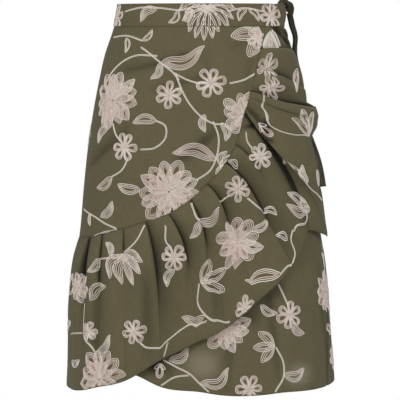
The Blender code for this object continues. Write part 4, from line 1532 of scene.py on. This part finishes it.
# ---- studio ----
@dataclass(frozen=True)
class Studio:
    """Pale floor, soft lights, a white surround and the camera."""

    camera_from: tuple[float, float, float] = (0.0, -3.0, -0.045)
    camera_to: tuple[float, float, float] = (-0.00229, 0.0, -0.2975)
    lens: float = 177.4
    sensor: float = 36.0
    floor_height: float = -1.0
    floor_radius: float = 1.5
    floor_sides: int = 96
    lit_place: tuple[float, float, float] = (0.0, 0.0, -0.3)
    surround: float = 0.42
    lights: tuple = (
        ((-1.4, -2.7, 1.7), 1.2, 44.0),
        ((1.8, -2.4, 1.5), 1.2, 27.0),
        ((0.4, 2.4, 1.6), 1.6, 22.0),
    )

    def aim(self, thing: bpy.types.Object, target: tuple[float, float, float]) -> None:
        """Point an object's -Z at a target."""
        away = Vector(target) - thing.location
        thing.rotation_euler = away.to_track_quat("-Z", "Y").to_euler()

    def build(self) -> None:
        """Put up the floor, the lights, the surround and the camera."""
        scene = bpy.context.scene
        scene.view_settings.view_transform = "Standard"
        finish, _, shader = new_material("pale_floor")
        shader.inputs["Base Color"].default_value = (0.86, 0.86, 0.85, 1.0)
        shader.inputs["Roughness"].default_value = 0.7
        t = np.linspace(0, 2 * np.pi, self.floor_sides, endpoint=False)
        x, y = self.floor_radius * np.cos(t), self.floor_radius * np.sin(t)
        rim = np.stack([x, y, np.full_like(t, self.floor_height)], axis=-1)
        mesh = bpy.data.meshes.new("floor")
        mesh.from_pydata(rim.tolist(), [], [list(range(self.floor_sides))])
        mesh.materials.append(finish)
        floor = bpy.data.objects.new("floor", mesh)
        scene.collection.objects.link(floor)
        for number, (place, size, power) in enumerate(self.lights):
            lamp = bpy.data.lights.new(f"softbox_{number}", "AREA")
            lamp.shape = "DISK"
            lamp.size = size
            lamp.energy = power
            light = bpy.data.objects.new(lamp.name, lamp)
            light.location = place
            scene.collection.objects.link(light)
            self.aim(light, self.lit_place)
        world = bpy.data.worlds.new("surround")
        world.use_nodes = True
        graph = Graph(world.node_tree)
        seen = graph.node("ShaderNodeLightPath").outputs["Is Camera Ray"]
        strength = graph.math("MULTIPLY_ADD", seen, 1.0 - self.surround, self.surround)
        back = world.node_tree.nodes["Background"]
        back.inputs["Color"].default_value = (1.0, 1.0, 1.0, 1.0)
        graph.tree.links.new(strength, back.inputs["Strength"])
        scene.world = world
        view = bpy.data.cameras.new("camera")
        view.lens = self.lens
        view.sensor_width = self.sensor
        camera = bpy.data.objects.new("camera", view)
        camera.location = self.camera_from
        scene.collection.objects.link(camera)
        self.aim(camera, self.camera_to)
        scene.camera = camera


# ---- the panels and their creases ----
OVERWRAP_CREASES = (
    Crease(296.0, -0.105, 352.0, -0.078, -0.0020, 0.006),
    Crease(322.0, -0.128, 372.0, -0.104, -0.0016, 0.006),
    Crease(332.0, -0.068, 362.0, -0.050, 0.0015, 0.006),
    Crease(328.0, -0.088, 358.0, -0.070, -0.0022, 0.004),
    Crease(341.0, -0.236, 366.0, -0.196, -0.0022, 0.005),
    Crease(388.0, -0.150, 398.0, -0.080, -0.0016, 0.006),
    Crease(276.0, -0.060, 300.0, -0.120, 0.0012, 0.008),
    Crease(282.0, -0.250, 316.0, -0.180, -0.0022, 0.008),
    Crease(300.0, -0.300, 340.0, -0.215, 0.0022, 0.010),
    Crease(345.0, -0.240, 388.0, -0.150, -0.0020, 0.008),
    Crease(368.0, -0.200, 402.0, -0.085, 0.0012, 0.008),
    Crease(380.0, -0.070, 404.0, -0.048, -0.0010, 0.005),
    Crease(312.0, -0.235, 322.0, -0.130, 0.0010, 0.009),
    Crease(356.0, -0.060, 368.0, -0.105, -0.0008, 0.006),
)
# Painted shade or, below 0, painted light where thin cloth lets light through: turn, height,
# strength, half width and half height.
UNDERWRAP_SHADES = (
    (74.0, -0.048, 0.85, 0.032, 0.030),
    (0.5, -0.528, -0.85, 0.024, 0.020),
    (53.8, -0.549, -0.95, 0.024, 0.017),
    (-26.0, -0.5310, 0.95, 0.016, 0.0130),
    (44.0, -0.421, 0.45, 0.016, 0.014),
    (37.0, -0.440, 0.45, 0.018, 0.016),
    (29.5, -0.461, 0.45, 0.016, 0.013),
    (84.0, -0.450, 0.30, 0.016, 0.110),
    (82.0, -0.555, 0.30, 0.016, 0.040),
)
# Painted shade below the band's gathered end, behind the flounce's top end.
BACK_SHADES = ((92.0, -0.050, 0.85, 0.016, 0.028),)
# Another program worked out a few of these creases' places, and one place in each SHADES table that
# has nine rows.
FLOUNCE_CREASES = (
    Crease(84.0, -0.180, 62.0, -0.252, 0.0050, 0.007),
    Crease(90.0, -0.200, 70.0, -0.285, -0.0045, 0.009),
    Crease(34.0, -0.150, 50.0, -0.235, -0.0030, 0.006),
    Crease(55.0, -0.030, 74.0, -0.068, -0.0040, 0.004),
    Crease(60.0, -0.030, 84.0, -0.062, -0.0030, 0.003),
    Crease(26.0, -0.183, 42.0, -0.178, -0.0045, 0.0035),
    Crease(30.0, -0.150, 45.5, -0.184, -0.0065, 0.0030),
    Crease(28.0, -0.164, 42.0, -0.182, 0.0060, 0.0065),
    Crease(-34.6, -0.385, -31.0, -0.530, -0.0035, 0.011),
    Crease(-60.2, -0.420, -58.0, -0.560, -0.0030, 0.009),
    Crease(6.0, -0.385, 8.0, -0.470, -0.0025, 0.012),
    Crease(-22.0, -0.400, -19.0, -0.500, 0.0025, 0.012),
)
# Painted shadows along the flounce's fold lines, where one fold overlaps the next.
FLOUNCE_SHADOWS = (
    Shadow(1, 0.75, 3.0 * MM, 1.2, 0.20, 6 * MM, 1.2),
    Shadow(2, 0.65, 3.0 * MM, 0.9, 0.30, 9 * MM, 1.0),
    Shadow(4, 0.75, 3.5 * MM, 1.2, 0.45, 14 * MM, 1.2),
    Shadow(9, 0.50, 3.0 * MM, 1.1),
    Shadow(9, 1.00, 13 * MM, 0.92, 0.30, 22 * MM, 1.0, side=1, sharp=5.0),
    Shadow(10, 0.65, 3.5 * MM, 0.40, 0.30, 12 * MM, 0.50),
    Shadow(11, 0.90, 4.5 * MM, 0.72, 0.42, 26 * MM, 1.10),
    Shadow(12, 0.80, 4.0 * MM, 0.50, 0.35, 14 * MM, 0.60),
    Shadow(13, 0.85, 4.0 * MM, 0.42, 0.30, 12 * MM, 0.50),
    Shadow(14, 0.56, 4.5 * MM, 0.48, 0.35, 15 * MM, 0.55),
    Shadow(15, 0.54, 5.0 * MM, 0.65, 0.42, 22 * MM, 0.95),
    Shadow(16, 0.85, 2.5 * MM, 0.24, 0.20, 8 * MM, 0.30),
    Shadow(17, 0.92, 5.0 * MM, 0.45, 0.30, 12 * MM, 0.60),
    Shadow(18, 0.98, 5.5 * MM, 0.50, 0.30, 9 * MM, 0.90),
    Shadow(18, 0.95, 13 * MM, 0.42, side=1, sharp=3.0),
    Shadow(19, 0.80, 4.5 * MM, 0.60, 0.25, 8 * MM, 1.00),
)
# Painted shade patches on the flounce's folds: turn, height, strength, half width and half height.
FLOUNCE_SHADES = (
    (62.0, -0.0400, 0.70, 0.010, 0.010),
    (72.0, -0.0520, 0.75, 0.012, 0.014),
    (41.4, -0.1690, 0.80, 0.0024, 0.0040),
    (42.7, -0.1765, 0.95, 0.0034, 0.0055),
    (43.2, -0.1860, 0.90, 0.0034, 0.0060),
    (45.4, -0.1960, 0.85, 0.0034, 0.0075),
    (72.8, -0.2070, 0.95, 0.0090, 0.0110),
    (71.2, -0.2220, 0.95, 0.0080, 0.0130),
    (71.5, -0.2380, 0.90, 0.0070, 0.0110),
)
UNDERWRAP_CREASES = (
    Crease(14.0, -0.575, 22.0, -0.430, -0.0016, 0.008),
    Crease(30.0, -0.570, 34.0, -0.380, 0.0014, 0.010),
    Crease(44.0, -0.565, 40.0, -0.420, -0.0018, 0.007),
    Crease(62.0, -0.570, 66.0, -0.330, 0.0016, 0.012),
    Crease(76.0, -0.560, 72.0, -0.380, -0.0015, 0.008),
    Crease(90.0, -0.270, 69.0, -0.640, -0.0032, 0.0030),
    Crease(-20.0, -0.560, -12.0, -0.480, -0.0012, 0.007),
    Crease(2.0, -0.565, 4.0, -0.500, 0.0010, 0.007),
)
BACK_CREASES = (
    Crease(104.0, -0.570, 108.0, -0.200, 0.0022, 0.012),
    Crease(121.0, -0.560, 117.0, -0.260, -0.0024, 0.010),
    Crease(146.0, -0.565, 150.0, -0.160, 0.0018, 0.014),
    Crease(171.0, -0.570, 166.0, -0.300, -0.0022, 0.011),
    Crease(194.0, -0.560, 199.0, -0.120, 0.0016, 0.014),
    Crease(219.0, -0.570, 214.0, -0.240, -0.0020, 0.012),
    Crease(241.0, -0.565, 247.0, -0.180, 0.0018, 0.012),
    Crease(259.0, -0.560, 256.0, -0.330, -0.0020, 0.009),
    Crease(128.0, -0.130, 172.0, -0.095, -0.0010, 0.008),
    Crease(186.0, -0.105, 232.0, -0.135, -0.0011, 0.008),
    Crease(98.0, -0.110, 128.0, -0.085, 0.0010, 0.007),
)

# ---- the embroidery's layout ----
# Angles in degrees and heights in metres.  Flowers: kind, place, heading, size, detail.  Sprays:
# kind, base, tip, detail.  Another program worked out most of the places on the overwrap and the
# flounce, half of those on the underwrap and a few on the band, from where the motifs show in the
# front view; they were then rounded, and part of them were moved.
DAISY, BLOSSOM, LILY, TULIP, LEAF, BUD, PATCH = Motif
OVERWRAP_FLOWERS = (
    (BLOSSOM, -60.0, -0.143, 20, 0.042, 13),
    (BLOSSOM, -21.0, -0.275, 75, 0.045, 14),
    (BLOSSOM, 29.0, -0.163, 205, 0.034, 11),
    (DAISY, 7.0, -0.116, 10, 0.0215, 6),
    (DAISY, -23.0, -0.134, 25, 0.0195, 6),
    (DAISY, -49.0, -0.211, 0, 0.0205, 6),
    (DAISY, 43.5, -0.052, 15, 0.0165, 6),
    (DAISY, -87.0, -0.200, 10, 0.0165, 6),
)
OVERWRAP_SPRAYS = (
    (LEAF, -30.0, -0.087, 2.0, -0.062, 26),
    (LEAF, -30.5, -0.087, -36.0, -0.111, -30),
    (LEAF, 10.0, -0.227, -19.5, -0.218, 20),
    (LEAF, 2.0, -0.162, 2.5, -0.188, 22),
    (LEAF, -61.5, -0.182, -68.5, -0.207, 25),
    (LEAF, -55.5, -0.256, -65.5, -0.274, -16),
    (LEAF, -30.5, -0.171, -45.0, -0.175, 16),
    (LEAF, -38.5, -0.273, -51.5, -0.266, -12),
    (LEAF, -45.5, -0.055, -39.5, -0.039, 20),
    (LEAF, -59.0, -0.051, -56.5, -0.073, -20),
    (LEAF, -61.0, -0.316, -54.0, -0.291, 24),
    (LEAF, -70.0, -0.312, -69.0, -0.331, 20),
    (LEAF, 14.0, -0.174, 16.5, -0.201, -26),
    (LILY, 2.5, -0.023, 2.0, -0.056, 5),
    (TULIP, 47.5, -0.043, 23.5, -0.050, 0),
    (LILY, 12.5, -0.238, 24.5, -0.230, 0),
    (LEAF, 16.0, -0.235, 11.0, -0.258, 20),
    (LEAF, 17.0, -0.234, 27.5, -0.244, -24),
)
OVERWRAP_VINES = (
    ((-46.0, -0.064), (-38.5, -0.074), (-30.5, -0.087), (-20.0, -0.103), (-16.5, -0.112)),
    ((-20.0, -0.102), (-10.0, -0.112), (-3.5, -0.116), (3.0, -0.117)),
    ((20.0, -0.117), (30.0, -0.112), (39.0, -0.102)),
    ((-19.0, -0.103), (-15.0, -0.123), (-8.0, -0.148), (1.0, -0.167), (10.0, -0.176), (15.5, -0.176)),
    ((8.0, -0.172), (11.5, -0.192), (10.5, -0.221), (6.0, -0.243), (-3.5, -0.258)),
    ((-33.0, -0.077), (-49.0, -0.077), (-61.0, -0.092), (-69.0, -0.117)),
    ((-31.0, -0.171), (-24.5, -0.179), (-24.0, -0.195), (-30.5, -0.211), (-39.5, -0.214)),
    ((-58.0, -0.177), (-54.5, -0.197), (-51.0, -0.205)),
    ((-46.5, -0.228), (-49.5, -0.244), (-56.0, -0.256)),
    ((-74.5, -0.050), (-57.5, -0.048), (-45.5, -0.055)),
    ((15.5, -0.229), (18.0, -0.237)),
    ((-78.5, -0.308), (-65.0, -0.317), (-57.0, -0.326), (-51.0, -0.332), (-58.5, -0.338), (-68.0, -0.349)),
    ((-15.0, -0.123), (-20.0, -0.129)),
)
UNDERWRAP_FLOWERS = (
    (DAISY, 50.0, -0.459, 20, 0.0205, 6),
    (DAISY, 27.5, -0.566, 0, 0.0205, 6),
    (BLOSSOM, 15.0, -0.474, 260, 0.035, 12),
    (BLOSSOM, 80.0, -0.435, 20, 0.034, 12),
    (DAISY, 83.0, -0.535, 20, 0.0185, 6),
)
UNDERWRAP_SPRAYS = (
    (LEAF, 50.5, -0.472, 58.0, -0.489, 20),
    (TULIP, 42.0, -0.503, 29.5, -0.506, 0),
    (LEAF, 45.5, -0.548, 56.5, -0.540, 24),
    (LEAF, -0.5, -0.556, 16.0, -0.533, 34),
    (LEAF, -19.0, -0.523, -8.0, -0.504, 28),
    (BUD, -24.0, -0.527, -24.5, -0.549, 0),
    (LEAF, 35.0, -0.443, 44.0, -0.456, 22),
    (LEAF, 81.0, -0.400, 79.0, -0.374, 24),
    (BUD, 83.0, -0.498, 78.0, -0.485, 0),
)
UNDERWRAP_VINES = (
    ((45.0, -0.412), (48.0, -0.433), (50.0, -0.449)),
    ((42.5, -0.505), (45.5, -0.528), (45.5, -0.548), (41.0, -0.572)),
    ((-22.5, -0.522), (-15.0, -0.532), (-7.0, -0.542), (-1.0, -0.556), (4.5, -0.568)),
    ((-23.5, -0.560), (-15.5, -0.547), (-7.5, -0.544)),
    ((84.0, -0.360), (82.0, -0.400), (84.0, -0.500), (83.0, -0.530)),
)
BAND_FLOWERS = (
    (DAISY, 58.0, -0.019, 10, 0.0205, 6),
    (DAISY, -76.5, -0.021, 20, 0.0205, 6),
)
BAND_SPRAYS = (
    (LILY, 5.5, -0.004, 6.5, -0.052, 9),
    (LEAF, -38.0, -0.007, -50.0, -0.027, 30),
    (LEAF, -20.0, -0.011, -27.5, -0.029, -28),
    (BUD, -8.0, -0.009, -13.5, -0.027, 0),
    (LEAF, 40.0, -0.008, 47.0, -0.026, -24),
    (LEAF, 38.0, -0.008, 31.0, -0.026, 24),
)
BAND_VINES = (
    ((-66.0, -0.012), (-50.0, -0.006), (-35.0, -0.007), (-18.0, -0.010), (-4.0, -0.006), (5.0, -0.015)),
    ((22.0, -0.012), (36.0, -0.007), (52.0, -0.012)),
    ((60.0, -0.011), (65.0, -0.004)),
)
# The flounce's places are the way along it and minus the way down from its seam, in metres.
FLOUNCE_FLOWERS = (
    (BLOSSOM, 0.402, -0.110, 20, 0.035, 10),
    (BLOSSOM, 0.133, -0.216, 10, 0.042, 12),
    (BLOSSOM, 0.082, -0.069, 0, 0.023, 9),
    (DAISY, 0.781, -0.025, 20, 0.0170, 6),
    (DAISY, 0.739, -0.039, 0, 0.0185, 6),
    (DAISY, 0.514, -0.052, 10, 0.0180, 6),
    (DAISY, 0.440, -0.046, 35, 0.0180, 6),
    (DAISY, 0.278, -0.065, 0, 0.0185, 6),
    (DAISY, 0.197, -0.153, 15, 0.0185, 6),
    (DAISY, 0.111, -0.138, 10, 0.0140, 6),
    (DAISY, 0.384, -0.192, 25, 0.0160, 6),
)
FLOUNCE_SPRAYS = (
    (LILY, 0.177, -0.035, 0.198, -0.082, 5),
    (TULIP, 0.653, -0.085, 0.698, -0.096, 0),
    (PATCH, 0.857, -0.010, 0.824, -0.025, 0),
    (TULIP, 0.320, -0.115, 0.366, -0.121, 0),
    (LEAF, 0.159, -0.035, 0.143, -0.014, 24),
    (LEAF, 0.129, -0.035, 0.106, -0.049, -24),
    (LEAF, 0.338, -0.032, 0.390, -0.048, 30),
    (LEAF, 0.337, -0.034, 0.317, -0.047, -24),
    (LEAF, 0.432, -0.111, 0.463, -0.115, 24),
    (LEAF, 0.472, -0.101, 0.487, -0.126, -20),
    (LEAF, 0.319, -0.165, 0.283, -0.156, -26),
    (LEAF, 0.446, -0.186, 0.395, -0.161, 15),
    (LEAF, 0.115, -0.091, 0.148, -0.075, -30),
    (LEAF, 0.126, -0.174, 0.157, -0.149, 24),
    (LEAF, 0.056, -0.186, 0.083, -0.181, 24),
    (LEAF, 0.275, -0.082, 0.262, -0.104, 26),
    (LEAF, 0.552, -0.188, 0.523, -0.124, 12),
    (LEAF, 0.550, -0.189, 0.511, -0.132, -12),
    (LEAF, 0.554, -0.188, 0.548, -0.156, -12),
    (LEAF, 0.588, -0.108, 0.545, -0.093, 20),
    (LEAF, 0.582, -0.140, 0.599, -0.102, -20),
    (LEAF, 0.601, -0.160, 0.611, -0.125, 20),
    (LEAF, 0.480, -0.158, 0.467, -0.138, 24),
    (LEAF, 0.460, -0.184, 0.478, -0.186, 20),
    (LEAF, 0.798, -0.090, 0.756, -0.089, 24),
    (LEAF, 0.039, -0.120, 0.020, -0.142, 24),
    (LEAF, 0.473, -0.025, 0.473, -0.002, 20),
    (BUD, 0.039, -0.050, 0.033, -0.080, 0),
    (BUD, 0.598, -0.025, 0.599, -0.046, 0),
)
FLOUNCE_VINES = (
    ((0.721, -0.034), (0.682, -0.020), (0.657, -0.015), (0.632, -0.021), (0.618, -0.032),
     (0.621, -0.043), (0.630, -0.051), (0.644, -0.060), (0.653, -0.085)),
    ((0.237, -0.005), (0.213, -0.023), (0.177, -0.034)),
    ((0.285, -0.015), (0.273, -0.041), (0.278, -0.050)),
    ((0.317, -0.115), (0.310, -0.141), (0.321, -0.164), (0.336, -0.182), (0.353, -0.191)),
    ((0.323, -0.174), (0.294, -0.171), (0.285, -0.173), (0.260, -0.181), (0.236, -0.188),
     (0.218, -0.183), (0.208, -0.172)),
    ((0.260, -0.184), (0.252, -0.202)),
    ((0.424, -0.046), (0.394, -0.042)),
    ((0.550, -0.189), (0.548, -0.194), (0.505, -0.164), (0.486, -0.164), (0.481, -0.178),
     (0.461, -0.183), (0.446, -0.186)),
    ((0.588, -0.108), (0.583, -0.133), (0.582, -0.146), (0.593, -0.178), (0.594, -0.190)),
    ((0.129, -0.035), (0.155, -0.037), (0.175, -0.039)),
    ((0.097, -0.092), (0.093, -0.120), (0.095, -0.141), (0.115, -0.160), (0.126, -0.180)),
    ((0.523, -0.012), (0.515, -0.019), (0.512, -0.033)),
    ((0.444, -0.067), (0.457, -0.095), (0.474, -0.108)),
    ((0.344, -0.005), (0.338, -0.028), (0.347, -0.046)),
    ((0.040, -0.140), (0.089, -0.137)),
    ((0.859, -0.012), (0.845, -0.029), (0.830, -0.043)),
)


# ---- the skirt ----
@dataclass
class WrapSkirt:
    """The skirt, piece by piece; the distances are from its sewing lines to the edges beside them."""

    groups: dict[str, bpy.types.NodeTree] = field(default_factory=dict)
    sewn_to_hem: float = 8.0 * MM
    sewn_to_seam: float = 2.5 * MM
    sewn_to_band_edge: float = 2.0 * MM
    sewn_to_flounce_hem: float = 5.5 * MM
    sewn_to_flounce_seam: float = 2.2 * MM

    def prepare(self) -> None:
        """Make the finishes and work out the panels."""
        self.groups = {"weave": weave_group(), "wear": wear_group(), "chain": chain_group()}
        self.cloth = CLOTH.material(self.groups)
        self.tie_cloth_painted_shade = TIE_CLOTH_PAINTED_SHADE.material(self.groups)
        self.thread = THREAD.material(self.groups)
        self.sewing = SEWING.material(self.groups)
        self.overwrap = Overwrap("overwrap_cloth", "overwrap_front", columns=230, rows=110, start=270.0,
                                 end=412.0, creases=OVERWRAP_CREASES).make()
        self.underwrap = BodyPanel("underwrap_cloth", "underwrap_front", hem=9 * MM, columns=160, rows=110,
                                   start=UNDERWRAP_EDGE, end=LEFT_SEAM, creases=UNDERWRAP_CREASES,
                                   shades=UNDERWRAP_SHADES).make()
        self.back = BodyPanel("back_cloth", "back_panel", hem=9 * MM, columns=200, rows=110,
                              start=LEFT_SEAM, end=RIGHT_SEAM, creases=BACK_CREASES,
                              shades=BACK_SHADES).make()
        self.flounce = Flounce("flounce_cloth", "flounce", hem=7 * MM, creases=FLOUNCE_CREASES,
                               shadows=FLOUNCE_SHADOWS, shades=FLOUNCE_SHADES).make()
        self.band = Waistband("waistband_cloth", "waistband").make()

    def build_cloth(self) -> None:
        """The cloth walls; the band's edges are bevelled."""
        sheets = (
            (self.overwrap, "hung"), (self.underwrap, "hung"), (self.back, "hung"),
            (self.flounce, "gathered"), (self.band, "hung"),
        )
        for panel, held in sheets:
            piece = panel.build(self.cloth)
            if panel is self.band:
                soft = piece.modifiers.new("Edges", "BEVEL")
                soft.width = 0.55 * MM
                soft.segments = 2
                soft.limit_method = "ANGLE"
            points, _ = panel.turned_up()

    def build_ties(self) -> None:
        """The two ties and their knot."""
        front = tie("tie_front_cloth", "tie_tail_front", FRONT_TAIL, 3.4)
        back = tie("tie_back_cloth", "tie_tail_back", BACK_TAIL, 3.0)
        knot = Knot()
        core = knot.core(self.tie_cloth_painted_shade)
        shoulder, turn, roll = (strand.build(self.tie_cloth_painted_shade) for strand in knot.wraps())
        for strand, others in ((front, [shoulder, core]), (back, [turn, roll])):
            piece = strand.build(self.tie_cloth_painted_shade)
            length = float(lengths(strand.path).sum())

    def sew(self, work: ThreadWork, material: bpy.types.Material) -> None:
        """Build one panel's thread work and report it."""
        piece = work.build(material)
        LOG.info("%s: %d lines, %d faces", work.name, len(work.lines), len(piece.data.polygons))

    def build_embroidery(self) -> None:
        """The vines and flowers on every panel."""
        needle = Needle()
        layouts = (
            (self.overwrap, OVERWRAP_FLOWERS, OVERWRAP_SPRAYS, OVERWRAP_VINES, 360.0),
            (self.underwrap, UNDERWRAP_FLOWERS, UNDERWRAP_SPRAYS, UNDERWRAP_VINES, 0.0),
            (self.flounce, FLOUNCE_FLOWERS, FLOUNCE_SPRAYS, FLOUNCE_VINES, 0.0),
            (self.band, BAND_FLOWERS, BAND_SPRAYS, BAND_VINES, 360.0),
        )
        for panel, flowers, sprays, vines, shift in layouts:
            work = ThreadWork("embroidery_" + panel.name.split("_")[0], panel)
            Embroidery(work, needle).add(flowers, sprays, vines, shift)
            self.sew(work, self.thread)
        work = ThreadWork("embroidery_back", self.back, spacing=2.0 * MM)
        embroidery = Embroidery(work, needle)
        embroidery.repeat(LEFT_SEAM + 4, RIGHT_SEAM - 4, -0.560, -0.325, 3)
        embroidery.repeat(LEFT_SEAM + 10, RIGHT_SEAM - 10, -0.300, -0.060, 4)
        self.sew(work, self.thread)

    def build_stitching(self) -> None:
        """Running stitches along the hems, the band's edges and the seams."""
        for panel in (self.overwrap, self.underwrap, self.back, self.flounce, self.band):
            work = ThreadWork("stitching_" + panel.name.split("_")[0], panel, crown=0.3 * MM,
                              slot="sewing_thread", fewest=3)
            if panel is self.flounce:
                x = np.linspace(0.004, self.flounce.way[-1] - 0.03, 900)
                depth = np.interp(x, self.flounce.way, self.flounce.depth)
                stitched(work, x, -(depth - self.sewn_to_flounce_hem))
                stitched(work, x, -np.full_like(x, self.sewn_to_flounce_seam))
            elif panel is self.band:
                x = np.linspace(BAND_START + 1, BAND_END - 8, 900)
                top, bottom = self.band.edges(x)
                stitched(work, x, top - self.sewn_to_band_edge)
                stitched(work, x, bottom + self.sewn_to_band_edge)
            elif panel is self.overwrap:
                x = np.linspace(271.0, 411.0, 500)
                stitched(work, x, self.overwrap.bottom(x) + self.sewn_to_seam)
            else:
                x = np.linspace(panel.start + 0.5, panel.end - 0.5, 500)
                stitched(work, x, panel.bottom(x) + self.sewn_to_hem)
                y = np.linspace(-0.045, -0.56, 200)
                stitched(work, np.full_like(y, panel.end - 1.0), y)
            self.sew(work, self.sewing)


def main() -> None:
    """Build the skirt and the studio."""
    logging.basicConfig(level=logging.INFO, format="%(name)s: %(message)s")
    skirt = WrapSkirt()
    skirt.prepare()
    skirt.build_cloth()
    skirt.build_ties()
    skirt.build_embroidery()
    skirt.build_stitching()
    Studio().build()


if __name__ == "__main__":
    main()
